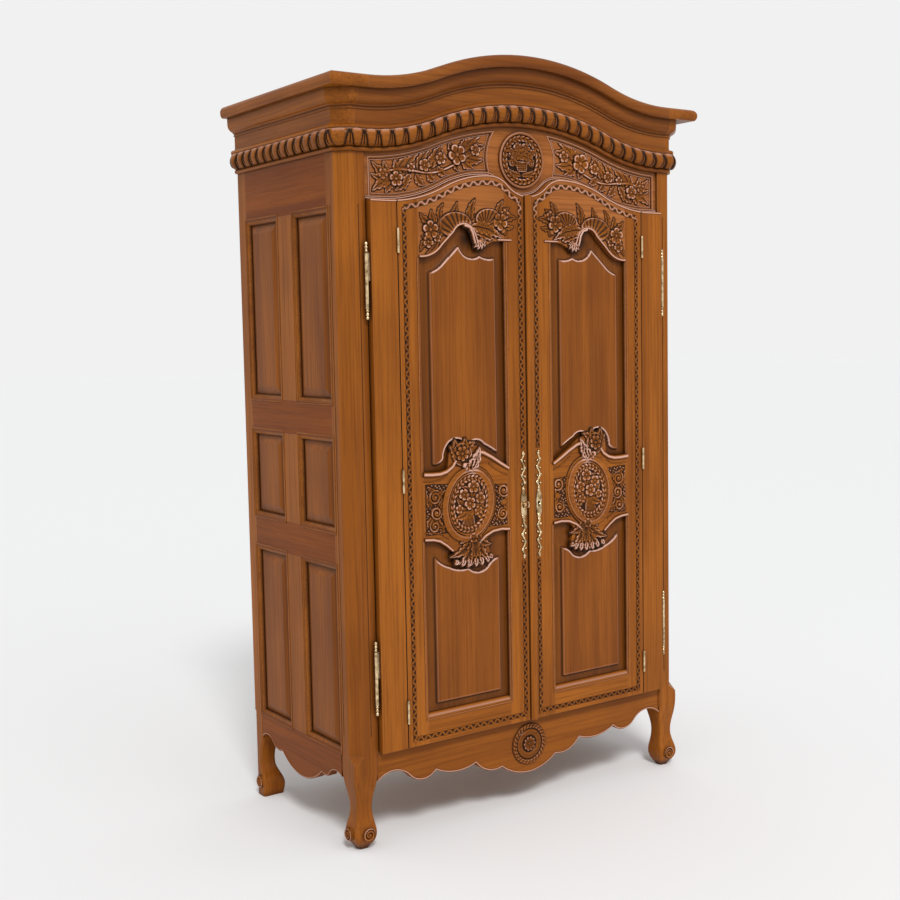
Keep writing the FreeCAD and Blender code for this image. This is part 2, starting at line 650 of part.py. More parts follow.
def make_side_panels():
    """Raised panels, two in each of three rows: a thin ground and a bevelled field."""
    front_y = FRONT + size("post_depth")
    rear_y = front_y + size("front_column_width") + size("muntin_width")
    rear_width = "(case_depth - post_depth - rear_post_depth - front_column_width - muntin_width)"
    columns = [(front_y, "front_column_width"), (rear_y, rear_width)]
    ground_x = -HALF + size("panel_recess")
    panels = []
    for row, (bottom, height) in enumerate(zip(row_bottoms(), ROW_HEIGHTS)):
        for column, (y, width) in enumerate(columns):
            name = f"side_panel{row}{column}"
            ground = board(name + "_ground", (ground_x, y, bottom), "panel_thickness", width, height)
            field = doc.addObject("Part::Wedge", name + "_field")
            bind(field, Xmin="0", Ymin="0", Zmin="0", Ymax="field_rise",
                 Xmax=width + " - 2 * sticking", Zmax=height + " - 2 * sticking",
                 X2min="bevel", Z2min="bevel",
                 X2max=width + " - 2 * sticking - bevel", Z2max=height + " - 2 * sticking - bevel")
            place = Vector(ground_x, y + size("sticking"), bottom + size("sticking"))
            field.Placement = FreeCAD.Placement(place, Rotation(Vector(0, 0, 1), 90))
            panels.append(boolean("Fuse", name, ground, [field]))
    panels = group("left_side_panels", panels)
    keep("left_side_panels", panels)
    keep("right_side_panels", mirror("right_side_panels", panels))


def make_frieze():
    """The arched frieze board with two sunk carved fields, and its round medallion."""
    low_line = door_line(-size("frieze_tuck"), ARCH_SPAN)
    outline = low_line + mirrored_points(low_line)[1:] + list(reversed(arch_line(size("case_top"), ARCH_SPAN)))
    behind = (0, FACE + size("front_thickness"), 0)
    blank = padded("frieze_blank", "XZ_Plane", outline, "front_thickness", behind)
    posts = [pieces["left_front_post"], pieces["right_front_post"]]
    field_end = POST_INNER - size("frieze_field_margin")
    field_low = door_line(size("frieze_margin"), field_end)
    level = BAND_BOTTOM - size("frieze_top_margin")
    crown = (0, level + size("arch_rise"))
    top = [(-field_end, level)] + s_bend((-ARCH_SPAN, level), crown, 1 - ARCH_CONVEX_SHARE)
    outline = field_low + list(reversed(top))
    depth = "frieze_field_depth + overrun"
    sunk = padded("frieze_field", "XZ_Plane", outline, depth, (0, FACE + size("frieze_field_depth"), 0))
    centre = Vector(0, FACE - 2 * size("overrun"), size("medallion_height"))
    island = cylinder("frieze_island", centre, Vector(0, 1, 0), "medallion_radius + medallion_clear",
                      "frieze_field_depth + 4 * overrun")
    left_field = boolean("Cut", "left_frieze_field", sunk, [island])
    right_field = mirror("right_frieze_field", left_field)
    pocket_low = (size("slide_bolt_place") - size("slide_bolt_width") / 2 - size("fit_gap"),
                  FACE + size("fit_gap"), size("door_dip") - size("frieze_tuck") - size("overrun"))
    mortise = board("bolt_mortise", pocket_low, "slide_bolt_width + 2 * fit_gap",
                    "slide_bolt_thickness + 2 * fit_gap", "slide_bolt_travel + 4 * overrun")
    keep("frieze_board", boolean("Cut", "frieze", blank, posts + [left_field, right_field, mortise]))
    radius = size("medallion_radius")
    rim = size("medallion_rim")
    thick = size("medallion_thickness")
    outline = [(0, 0), (radius, 0), (radius, thick / 2), (radius - rim / 2, thick, ARC),
               (radius - rim, thick / 2), (radius / 2, thick * MEDALLION_DOME_SHARE),
               (0, thick * MEDALLION_DOME_SHARE)]
    keep("frieze_medallion", turned("medallion", outline, Vector(0, FACE, size("medallion_height")),
                                    Vector(0, -1, 0)))


def make_front_apron():
    """The scalloped front apron and its rosette."""
    top = size("door_bottom") + size("frieze_tuck")
    half = scaled(APRON_SHARES, POST_INNER, top - size("apron_edge"), (0, size("apron_edge")))
    outline = mirrored_points(half)[:-1] + half + [(POST_INNER, top), (-POST_INNER, top)]
    behind = (0, FACE + size("front_thickness"), 0)
    apron = padded("front_apron", "XZ_Plane", outline, "front_thickness", behind)
    posts = [pieces["left_front_post"], pieces["right_front_post"]]
    keep("front_apron", boolean("Cut", "fitted_front_apron", apron, posts))
    radius = size("rosette_radius")
    rim = size("rosette_rim")
    thick = size("rosette_thickness")
    outline = [(0, 0), (radius, 0), (radius, thick / 2), (radius - rim / 2, thick, ARC),
               (radius - rim, thick / 2), (radius / 2, thick / 2), (radius * ROSETTE_EYE_SHARE, thick),
               (0, thick)]
    centre = Vector(0, FACE, size("rosette_height"))
    keep("apron_rosette", turned("rosette", outline, centre, Vector(0, -1, 0)))


def outward(points):
    """A section's points turned to face outwards."""
    return [(-p[0],) + tuple(p[1:]) for p in points]


def band_section(back, bottom):
    """The moulded band's section, from its back plane behind the case's face to its nose."""
    height = size("band_height")
    nose = scaled(BAND_SHARES, size("band_projection"), height, (0, bottom))
    return outward([(-back, bottom)] + nose + [(-back, bottom + height)])


def slab_section(bottom):
    """The top slab's section with its rounded nose."""
    full = size("crown_overhang") + size("slab_inward")
    return outward(scaled(SLAB_SHARES, full, size("slab_height"), (-size("slab_inward"), bottom)))


def make_cornice():
    """Moulded band and top slab: returns with their corners, and the arched front between."""
    cant = size("post_cant")
    depth = size("case_depth")
    rise = size("arch_rise")
    path = [(0, 0), (0, cant - depth), (cant, -depth), (cant + size("band_stub"), -depth)]
    band = piped("band_return", "XZ_Plane", band_section(0, BAND_BOTTOM), "XY_Plane", path, "Standard",
                 "Right corner", (-HALF, BACK, 0))
    keep("left_cornice_band", band)
    keep("right_cornice_band", mirror("right_cornice_band", band))
    reach = HALF - cant - size("band_stub")
    section = band_section(size("front_setback"), BAND_BOTTOM + rise)
    front = piped("front_band", "YZ_Plane", section, "XZ_Plane", arch_line(BAND_BOTTOM, reach), "Fixed",
                  "Transformed", (0, FRONT, 0))
    inner_posts = [pieces["left_front_post"], pieces["right_front_post"]]
    keep("front_cornice_band", boolean("Cut", "fitted_front_band", front, inner_posts))
    path = [(0, 0), (0, -depth), (size("slab_stub"), -depth)]
    slab = piped("slab_return", "XZ_Plane", slab_section(size("case_top")), "XY_Plane", path, "Standard",
                 "Right corner", (-HALF, BACK, 0))
    keep("left_cornice_slab", slab)
    keep("right_cornice_slab", mirror("right_cornice_slab", slab))
    reach = HALF - size("slab_stub")
    front = piped("front_slab", "YZ_Plane", slab_section(size("case_top") + rise), "XZ_Plane",
                  arch_line(size("case_top"), reach), "Fixed", "Transformed", (0, FRONT, 0))
    keep("front_cornice_slab", front)


def make_case_boards():
    """Dust board, bottom board, shelves with their cleats, and the back."""
    rear = size("back_thickness") + size("back_inset")
    inner = HALF - size("board_thickness")
    start = FACE + size("front_thickness")
    posts = [pieces[f"{side}_{end}_post"] for end in ("front", "rear") for side in ("left", "right")]
    roof = board("roof_blank", (-HALF, start, size("case_top") - size("roof_thickness")), "case_width",
                 "case_depth - front_setback - front_thickness", "roof_thickness")
    bands = [pieces["left_cornice_band"], pieces["right_cornice_band"]]
    keep("dust_board", boolean("Cut", "roof", roof, posts[:2] + bands))
    span = "case_width - 2 * board_thickness"
    length = "case_depth - front_setback - front_thickness - back_thickness - back_inset"
    floor = board("floor_blank", (-inner, start, size("panels_bottom") - size("floor_thickness")), span,
                  length, "floor_thickness")
    keep("bottom_board", boolean("Cut", "floor", floor, posts))
    shelves = []
    cleats = []
    shelf_length = "case_depth - shelf_setback - back_thickness - back_inset"
    for number, bottom in enumerate(row_bottoms()[1:]):
        low = bottom - size("rail_height") / 2
        blank = board(f"shelf{number}_blank", (-inner, FRONT + size("shelf_setback"), low), span, shelf_length,
                      "shelf_thickness")
        shelves.append(boolean("Cut", f"shelf{number}", blank, posts))
        for side in (-1, 1):
            x = -inner if side < 0 else inner - size("cleat_side")
            cleats.append(board(f"cleat{number}{(side + 1) // 2}",
                                (x, FRONT + size("post_depth"), low - size("cleat_side")), "cleat_side",
                                "case_depth - post_depth - rear_post_depth", "cleat_side"))
    keep("shelves", group("shelves", shelves))
    keep("shelf_cleats", group("shelf_cleats", cleats))
    back_low = BACK - rear
    sheet_board = board("back_blank", (-POST_INNER, back_low, size("back_bottom")),
                        "case_width - 2 * post_width",
                        "back_thickness", "case_top - roof_thickness - back_bottom")
    grooves = []
    boards = int((2 * POST_INNER) // size("back_board"))
    for number in range(1, boards):
        x = -POST_INNER + number * 2 * POST_INNER / boards - size("back_groove") / 2
        grooves.append(board(f"back_groove{number}", (x, BACK - size("back_inset") - size("back_groove") / 2,
                                                      size("back_bottom") - size("overrun")),
                             "back_groove", "back_groove", "case_top"))
    keep("back_boards", boolean("Cut", "back", sheet_board, grooves + posts[2:]))


def door_slice(name, blank, outer, length):
    """A part of the door blank of a given length, from a distance outside the middle inwards."""
    cutter = board(name + "_slice", (-outer, DOOR_FRONT - size("overrun"), 0), length,
                   "door_thickness + 2 * overrun", "case_top")
    return boolean("Common", name, blank, [cutter])


def carved_rail(name):
    """The middle rail of a main leaf with its leaning oval frame."""
    half = size("cartouche_half_height")
    middle = size("cartouche_height")
    start = (-OPENING_OUTER, middle)
    outline = scaled(CARTOUCHE_BOTTOM_SHARES, OPENING_WIDTH, half, start)
    outline += scaled(CARTOUCHE_TOP_SHARES, OPENING_WIDTH, half, start)
    rail = padded(name + "_blank", "XZ_Plane", outline, "door_thickness", (0, DOOR_BACK, 0))
    rings = []
    for inset in (0, size("oval_rim")):
        ellipse = Part.Ellipse(Vector(0, 0, 0), size("oval_long") - inset, size("oval_short") - inset)
        face = Part.Face(Part.Wire([ellipse.toShape()]))
        rings.append(face.extrude(Vector(0, 0, size("oval_proud"))))
    ring = formed(name + "_oval", rings[0].cut(rings[1]))
    upright = Rotation(Vector(1, 0, 0), 90)
    lean = Rotation(Vector(0, 1, 0), size("oval_tilt") - 90)
    place = Vector(-(OPENING_OUTER + OPENING_INNER) / 2, DOOR_FRONT, middle)
    ring.Placement = FreeCAD.Placement(place, lean.multiply(upright))
    return boolean("Fuse", name, rail, [ring])


def field_loft(name, base_points, top_points):
    """A raised field: a ruled solid from an outline on the ground to one on the field."""
    ground = DOOR_FRONT + size("panel_recess")
    wires = []
    for points, depth in ((base_points, ground), (top_points, ground - size("field_rise"))):
        flat = Part.Wire([curve.toShape() for curve in curves_through(points)])
        flat.Placement = FreeCAD.Placement(Vector(0, depth, 0), Rotation(Vector(1, 0, 0), 90))
        wires.append(flat)
    return formed(name, Part.makeLoft(wires, True, True))


def field_outline(low, high, rise, inset):
    """A raised field's outline inside a main leaf's opening, its top curling up by a rise."""
    left = -OPENING_OUTER + inset
    width = OPENING_WIDTH - 2 * inset
    if rise == 0:
        return [(left, low), (left, high), (left + width, high), (left + width, low)]
    return [(left, low)] + scaled(FIELD_TOP_SHARES, width, rise, (left, high)) + [(left + width, low)]


def make_doors():
    """Both doors: narrow outer leaf, and main leaf with stiles, rails and raised panels."""
    top = door_line(0, DOOR_EDGE)
    outline = top + [(size("meeting_place"), size("door_dip")), (size("meeting_place"), size("door_bottom")),
                     (-DOOR_EDGE, size("door_bottom"))]
    blank = padded("door_blank", "XZ_Plane", outline, "door_thickness", (0, DOOR_BACK, 0))
    outer = door_slice("outer_leaf", blank, DOOR_EDGE, "outer_leaf_width - leaf_gap / 2")
    half = size("fiche_length") / 2 + size("knuckle_gap")
    slots = [fiche_blade(f"leaf_slot{n}", size(foot) + half, False)
             for n, foot in enumerate(["fiche_low", "fiche_high"])]
    outer = boolean("Cut", "outer_leaf_slotted", outer, slots)
    keep("left_outer_leaf", outer)
    keep("right_outer_leaf", mirror("right_outer_leaf", outer))
    hinge_stile = door_slice("hinge_stile", blank, MAIN_OUTER, "hinge_stile")
    keep("left_hinge_stile", hinge_stile)
    keep("right_hinge_stile", mirror("right_hinge_stile", hinge_stile))
    lock_stile = door_slice("lock_stile", blank, OPENING_INNER, "lock_stile")
    round_hole, slot = keyhole("stile", DOOR_FRONT - size("overrun"), "door_thickness + 2 * overrun")
    keep("left_lock_stile", boolean("Cut", "lock_stile_holed", lock_stile, [round_hole, slot]))
    wide_stile = door_slice("wide_lock_stile", blank, OPENING_INNER, "lock_stile + 2 * meeting_place")
    keep("right_lock_stile", mirror("right_lock_stile", wide_stile))
    between = "case_width / 2 - post_width - door_clearance - outer_leaf_width - leaf_gap / 2"
    between += " - meeting_place - meeting_gap / 2 - hinge_stile - lock_stile"
    bottom = board("bottom_rail_board", (-OPENING_OUTER, DOOR_FRONT, size("door_bottom")), between,
                   "door_thickness", "bottom_rail")
    keep("left_bottom_rail", bottom)
    keep("right_bottom_rail", mirror("right_bottom_rail", bottom))
    middle = door_slice("top_rail", blank, OPENING_OUTER, between)
    start = (-OPENING_OUTER, size("chapeau_height"))
    edge = scaled(CHAPEAU_SHARES, OPENING_WIDTH, size("chapeau_rise"), start)
    below = edge + [(-OPENING_INNER, 0), (-OPENING_OUTER, 0)]
    cutter = padded("chapeau_cutter", "XZ_Plane", below, "door_thickness + 2 * overrun",
                    (0, DOOR_BACK + size("overrun"), 0))
    top_rail = boolean("Cut", "top_rail_shaped", middle, [cutter])
    keep("left_top_rail", top_rail)
    keep("right_top_rail", mirror("right_top_rail", top_rail))
    carved = carved_rail("carved_rail")
    keep("left_carved_rail", carved)
    keep("right_carved_rail", mirror("right_carved_rail", carved))
    inset = size("sticking") + size("bevel")
    ground = (-OPENING_OUTER, DOOR_FRONT + size("panel_recess"))
    upper_low = size("cartouche_height")
    upper = board("upper_ground", ground + (upper_low,), between, "panel_thickness",
                  "chapeau_height + chapeau_rise - cartouche_height")
    field_high = size("chapeau_height") - size("sticking")
    rise = size("chapeau_rise") * CURL_SHARE
    field = field_loft("upper_field", field_outline(upper_low, field_high, rise, size("sticking")),
                       field_outline(upper_low + size("bevel"), field_high - size("bevel"), rise, inset))
    upper = boolean("Cut", "upper_panel", boolean("Fuse", "upper_panel", upper, [field]), [top_rail, carved])
    keep("left_upper_panel", upper)
    keep("right_upper_panel", mirror("right_upper_panel", upper))
    lower_low = size("door_bottom") + size("bottom_rail")
    lower = board("lower_ground", ground + (lower_low,), between, "panel_thickness",
                  "cartouche_height - door_bottom - bottom_rail")
    wide = field_outline(lower_low + size("sticking"), upper_low, 0, size("sticking"))
    narrow = field_outline(lower_low + inset, upper_low - size("bevel"), 0, inset)
    field = field_loft("lower_field", wide, narrow)
    lower = boolean("Cut", "lower_panel", boolean("Fuse", "lower_panel", lower, [field]), [carved])
    keep("left_lower_panel", lower)
    keep("right_lower_panel", mirror("right_lower_panel", lower))


def make_astragal():
    """The rounded strip on the right door's meeting edge."""
    width = size("astragal_width")
    proud = size("astragal_proud")
    left = RIGHT_EDGE
    section = [(left, 0), (left, -proud / 2), (left + width / 2, -proud, ARC), (left + width, -proud / 2),
               (left + width, 0)]
    strip = padded("astragal_bar", "XY_Plane", section, "door_dip - door_bottom",
                   (0, DOOR_FRONT, size("door_bottom")))
    keep("right_astragal", strip)


def make_hinges():
    """Two fiche hinges and three butt hinges to each door."""
    for to_post, node in ((True, "fiche_post_halves"), (False, "fiche_leaf_halves")):
        feet = ["fiche_low", "fiche_high"]
        halves = [fiche_half(f"{node}{n}", size(foot), to_post) for n, foot in enumerate(feet)]
        halves = group("left_" + node, halves)
        keep("left_" + node, halves)
        keep("right_" + node, mirror("right_" + node, halves))
    for outer, node in ((True, "butt_outer_halves"), (False, "butt_inner_halves")):
        feet = ["butt_low", "butt_middle", "butt_high"]
        halves = [butt_half(f"{node}{n}", size(foot), outer) for n, foot in enumerate(feet)]
        halves = group("left_" + node, halves)
        keep("left_" + node, halves)
        keep("right_" + node, mirror("right_" + node, halves))


def keyhole(name, start, length):
    """The round and the slot that together cut a keyhole."""
    x = -size("escutcheon_place")
    height = size("keyhole_height")
    hole = cylinder(name + "_keyhole", Vector(x, start, height), Vector(0, 1, 0), "keyhole_radius", length)
    slot = board(name + "_keyslot", (x - size("keyhole_slot") / 2, start, height - size("keyhole_length")),
                 "keyhole_slot", length, "keyhole_length")
    return hole, slot


def make_escutcheons():
    """Long pierced plates on both lock stiles."""
    half = scaled(ESCUTCHEON_SHARES, size("escutcheon_width") / 2, size("escutcheon_height"),
                  (0, size("escutcheon_foot")))
    outline = half + mirrored_points(half)[1:-1]
    outline = [(p[0] - size("escutcheon_place"),) + tuple(p[1:]) for p in outline]
    plate = padded("escutcheon_plate", "XZ_Plane", outline, "escutcheon_thickness", (0, DOOR_FRONT, 0))
    tools = keyhole("plate", DOOR_FRONT - 2 * size("overrun"), "4 * overrun")
    plate = boolean("Cut", "escutcheon", plate, tools)
    keep("left_escutcheon", plate)
    keep("right_escutcheon", mirror("right_escutcheon", plate))


def make_lock():
    """Lock case, sliding bolt, key and the keep on the other door."""
    wall = size("lock_wall")
    height = size("keyhole_height")
    low = (LEFT_EDGE - size("lock_width"), DOOR_BACK, height - size("lock_height") / 2)
    shell = board("lock_shell", low, "lock_width", "lock_depth", "lock_height")
    hollow = board("lock_hollow", (low[0] + wall, low[1] + wall, low[2] + wall), "lock_width - 2 * lock_wall",
                   "lock_depth - 2 * lock_wall", "lock_height - 2 * lock_wall")
    gap = size("fit_gap")
    bolt_y = DOOR_BACK + size("lock_depth") - wall - gap - size("bolt_thickness")
    bolt_low = (LEFT_EDGE - size("bolt_length"), bolt_y, height - size("bolt_height") / 2)
    mouth = board("lock_mouth", (LEFT_EDGE - 2 * wall, bolt_y - gap, bolt_low[2] - gap), "4 * lock_wall",
                  "bolt_thickness + 2 * fit_gap", "bolt_height + 2 * fit_gap")
    tools = keyhole("case", DOOR_BACK - size("overrun"), "overrun + 2 * lock_wall")
    keep("lock_case", boolean("Cut", "lock", shell, [hollow, mouth] + list(tools)))
    keep("lock_bolt", board("lock_bolt", bolt_low, "bolt_length", "bolt_thickness", "bolt_height"))
    keep_height = size("lock_height") * KEEP_SHARE
    keep_low = (RIGHT_EDGE, DOOR_BACK, height - keep_height / 2)
    block = board("keep_block", keep_low, "keep_width", "lock_depth", f"lock_height * {KEEP_SHARE}")
    loose = size("keep_gap")
    pocket = board("keep_pocket", (RIGHT_EDGE - size("overrun"), bolt_y - loose, bolt_low[2] - loose),
                   "overrun + bolt_throw + lock_wall", "bolt_thickness + 2 * keep_gap",
                   "bolt_height + 2 * keep_gap")
    keep("lock_keep", boolean("Cut", "keep", block, [pocket]))
    make_key(bolt_y - gap)


def make_key(inner_end):
    """The key: round shank, bit inside the lock case, and a ring bow in front."""
    x = -size("escutcheon_place")
    height = size("keyhole_height")
    start = DOOR_FRONT - size("key_reach") + size("bow_radius")
    tip = inner_end - size("fit_gap")
    key_run = tip - start
    shank = Part.makeCylinder(size("key_radius"), key_run, Vector(x, start, height), Vector(0, 1, 0))
    bow_centre = Vector(x - size("bow_thickness") / 2, DOOR_FRONT - size("key_reach"), height)
    bow = Part.makeCylinder(size("bow_radius"), size("bow_thickness"), bow_centre, Vector(1, 0, 0))
    hole = Part.makeCylinder(size("bow_hole"), size("bow_thickness"), bow_centre, Vector(1, 0, 0))
    overlap = Part.makeCylinder(size("key_radius"), size("bow_radius") - size("bow_hole"),
                                Vector(x, start - size("bow_radius") + size("bow_hole"), height),
                                Vector(0, 1, 0))
    bit = Part.makeBox(size("bit_thickness"), size("bit_width"), size("bit_length"),
                       Vector(x - size("bit_thickness") / 2, tip - size("bit_width"),
                              height - size("bit_length")))
    shape = shank.fuse([bow, overlap, bit]).cut(hole)
    keep("key", formed("key", shape))


def make_door_bolt():
    """The sliding bolt on the right door's back, and the staples that guide it."""
    x = size("slide_bolt_place")
    half = size("slide_bolt_width") / 2
    gap = size("fit_gap")
    low_y = FACE + 2 * gap
    top = size("door_dip") - size("frieze_tuck") - size("slide_bolt_rest")
    foot = top - size("slide_bolt_length")
    bar = board("bolt_bar", (x - half, low_y, foot),
                "slide_bolt_width", "slide_bolt_thickness", "slide_bolt_length")
    knob_place = Vector(x, low_y, foot + size("slide_bolt_length") / 2)
    knob = cylinder("bolt_knob", knob_place, Vector(0, 1, 0),
                    "knob_radius", "slide_bolt_thickness + knob_length")
    keep("door_bolt", boolean("Fuse", "door_bolt", bar, [knob]))
    staples = []
    wall = size("staple_wall")
    for number, share in enumerate(STAPLE_SHARES):
        z = foot + share * size("slide_bolt_length")
        block = board(f"staple{number}_block", (x - half - gap - wall, DOOR_BACK, z),
                      "slide_bolt_width + 2 * fit_gap + 2 * staple_wall",
                      "front_setback + door_proud - door_thickness + slide_bolt_thickness"
                      " + 3 * fit_gap + staple_wall",
                      "staple_height")
        way = board(f"staple{number}_way", (x - half - gap, low_y - gap, z - size("overrun")),
                    "slide_bolt_width + 2 * fit_gap", "slide_bolt_thickness + 2 * fit_gap",
                    "staple_height + 2 * overrun")
        staples.append(boolean("Cut", f"staple{number}", block, [way]))
    keep("bolt_staples", group("bolt_staples", staples))


def write_steps():
    """Checks every object and writes each node's solids."""
    doc.recompute()
    for thing in doc.Objects:
        if "Invalid" in thing.State or "Error" in thing.State:
            raise RuntimeError(f"{thing.Name} failed: {thing.State}")
    for node, thing in pieces.items():
        if thing.Shape.isNull() or not thing.Shape.isValid() or not thing.Shape.Solids:
            raise RuntimeError(f"{node} has no sound solid")
    os.makedirs("parts", exist_ok=True)
    for node, thing in pieces.items():
        thing.Shape.exportStep(f"parts/{node}.step")
    print(len(pieces), "nodes,", sum(len(thing.Shape.Solids) for thing in pieces.values()), "solids")


make_front_posts()
make_rear_posts()
make_side_frames()
make_side_panels()
make_frieze()
make_front_apron()
make_cornice()
make_case_boards()
make_doors()
make_astragal()
make_hinges()
make_escutcheons()
make_lock()
make_door_bolt()
write_steps()
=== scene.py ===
import json
import math

import bpy
import numpy as np
from mathutils import Matrix, Vector


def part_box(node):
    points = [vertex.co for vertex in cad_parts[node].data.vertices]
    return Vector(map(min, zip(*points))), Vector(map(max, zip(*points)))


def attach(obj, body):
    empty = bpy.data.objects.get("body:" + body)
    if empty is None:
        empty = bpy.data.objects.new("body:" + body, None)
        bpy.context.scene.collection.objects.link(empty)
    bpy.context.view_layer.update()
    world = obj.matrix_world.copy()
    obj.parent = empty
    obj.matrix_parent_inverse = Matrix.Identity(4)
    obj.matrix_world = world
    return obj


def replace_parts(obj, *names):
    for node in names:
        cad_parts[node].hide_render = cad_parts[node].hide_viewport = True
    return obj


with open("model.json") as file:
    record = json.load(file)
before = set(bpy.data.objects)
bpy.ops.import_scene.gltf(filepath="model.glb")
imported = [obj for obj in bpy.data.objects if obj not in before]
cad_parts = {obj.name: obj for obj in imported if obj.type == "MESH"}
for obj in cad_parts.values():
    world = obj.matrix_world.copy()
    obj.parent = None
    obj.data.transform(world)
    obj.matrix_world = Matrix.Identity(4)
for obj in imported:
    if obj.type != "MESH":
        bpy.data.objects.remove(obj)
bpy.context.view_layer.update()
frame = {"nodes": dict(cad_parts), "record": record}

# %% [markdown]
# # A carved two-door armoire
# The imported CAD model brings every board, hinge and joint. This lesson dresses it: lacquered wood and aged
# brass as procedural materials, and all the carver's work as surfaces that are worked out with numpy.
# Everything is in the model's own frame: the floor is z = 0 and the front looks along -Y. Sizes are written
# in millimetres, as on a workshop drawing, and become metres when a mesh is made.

MM = 0.001


def span(node):
    """Lowest and highest corner of a CAD node, in millimetres."""
    low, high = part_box(node)
    return np.array(low) / MM, np.array(high) / MM


def put(name, data):
    """A new object in the scene that shows this data."""
    item = bpy.data.objects.new(name, data)
    bpy.context.collection.objects.link(item)
    return item


def unit(x):
    """x, held between 0 and 1."""
    return np.clip(x, 0, 1)


def dome(x):
    """Half a circle over -1 to 1: sqrt(1 - x^2), and 0 outside."""
    return np.sqrt(unit(1 - x**2))


def bell(x):
    """1 at 0 and soon nothing on both sides: exp(-x^2)."""
    return np.exp(-(x**2))


def stacked(*parts):
    """Arrays of coordinates as one array of places."""
    return np.stack(parts, axis=-1)


HALF = span("left_side_rails")[0][0] * -1
FRONT = span("left_front_post")[0][1] + 4
BACK = span("left_rear_post")[1][1]
DOOR_FRONT = span("left_hinge_stile")[0][1]
FACE = span("front_apron")[0][1]
OPEN_OUTER, OPEN_INNER = 370.3, 83.5
print("case half width", HALF, "front", FRONT, "door front", DOOR_FRONT, "frieze face", FACE)

# %% [markdown]
# ## Camera
# The photograph was taken from the left of the armoire at chest height with a normal lens. The place and the
# three angles come from a fit to the straight edges of the case. The camera is built from its three axes:
# where it looks, what lies to its right, and what lies below, turned a little about the line of sight.

# %% Camera at the photograph's place
EYE = (-2.3271, -3.2274, 1.4048)
yaw, pitch, roll = (math.radians(angle) for angle in (34.865, 5.267, 1.092))
ahead = np.array([math.sin(yaw) * math.cos(pitch), math.cos(yaw) * math.cos(pitch), -math.sin(pitch)])
level_right = np.array([math.cos(yaw), -math.sin(yaw), 0.0])
level_down = np.cross(ahead, level_right)
right = math.cos(roll) * level_right + math.sin(roll) * level_down
down = -math.sin(roll) * level_right + math.cos(roll) * level_down
camera = put("camera", bpy.data.cameras.new("camera"))
camera.data.lens = 52.31
camera.data.sensor_width = 36
axes = np.stack([right, -down, -ahead], axis=1)
camera.matrix_world = Matrix.Translation(EYE) @ Matrix(axes.tolist()).to_4x4()
bpy.context.scene.camera = camera
print("camera looks along", ahead.round(3))

# %% [markdown]
# ## Light, floor and background
# A studio with a white tent: the world gives even light from everywhere. A soft sun from the camera's side,
# high up, draws the mouldings and carvings; because it shines the way the camera looks, its shadow falls
# behind the armoire. A wide lamp adds a sheen on the front. The background is the world itself, seen by the
# camera as the same pale grey as the floor, so that no horizon shows.

# %% World, lamps and floor
def node(tree, kind, settings=(), inputs=()):
    """Adds a shader node. Settings are its properties; inputs are numbers or sockets to link."""
    item = tree.nodes.new("ShaderNode" + kind)
    for key, value in dict(settings).items():
        setattr(item, key, value)
    for key, value in dict(inputs).items():
        if isinstance(value, bpy.types.NodeSocket):
            tree.links.new(value, item.inputs[key])
        else:
            item.inputs[key].default_value = value
    return item


def maths(tree, operation, first, second, kind="Math"):
    """What a node makes of two numbers, or of two vectors when its kind is VectorMath."""
    return node(tree, kind, {"operation": operation}, {0: first, 1: second}).outputs[0]


scene = bpy.context.scene
scene.view_settings.view_transform = "Standard"
world = bpy.data.worlds.new("studio")
world.use_nodes = True
scene.world = world
sky = world.node_tree
sky.nodes.clear()
rays = node(sky, "LightPath").outputs
seen = maths(sky, "MAXIMUM", rays["Is Camera Ray"], rays["Is Glossy Ray"])
seen = maths(sky, "MAXIMUM", seen, rays["Is Transmission Ray"])
tent, shown = (node(sky, "Background", (), {"Color": (1, 1, 1, 1), "Strength": strength}).outputs[0]
               for strength in (0.62, 0.88))
both = node(sky, "MixShader", (), {0: seen, 1: tent, 2: shown})
node(sky, "OutputWorld", (), {"Surface": both.outputs[0]})


def lamp(name, place, aim, wide, watts):
    """A square soft lamp at a place in metres, turned to its aim."""
    data = bpy.data.lights.new(name, "AREA")
    data.shape = "SQUARE"
    data.size = wide
    data.energy = watts
    turn = (Vector(aim) - Vector(place)).to_track_quat("-Z", "Y").to_matrix()
    put(name, data).matrix_world = Matrix.Translation(place) @ turn.to_4x4()


sun = put("sun", bpy.data.lights.new("sun", "SUN"))
sun.data.energy = 1.75
sun.data.angle = math.radians(14)
to_light = Vector((-math.sin(math.radians(24)), -math.cos(math.radians(24)), math.tan(math.radians(46))))
sun.rotation_euler = to_light.to_track_quat("Z", "Y").to_euler()
lamp("front_lamp", (0.3, -3.5, 3.6), (0, 0, 1.1), 1.6, 20)

floor_mesh = bpy.data.meshes.new("floor")
floor_mesh.from_pydata([(-40, -40, 0), (40, -40, 0), (40, 40, 0), (-40, 40, 0)], [], [(0, 1, 2, 3)])
floor = put("floor", floor_mesh)
paper = bpy.data.materials.new("studio_paper")
paper.use_nodes = True
paper_inputs = paper.node_tree.nodes["Principled BSDF"].inputs
for key, value in (("Base Color", (0.858, 0.862, 0.866, 1)), ("Roughness", 0.95), ("Specular IOR Level", 0.1)):
    paper_inputs[key].default_value = value
floor.data.materials.append(paper)
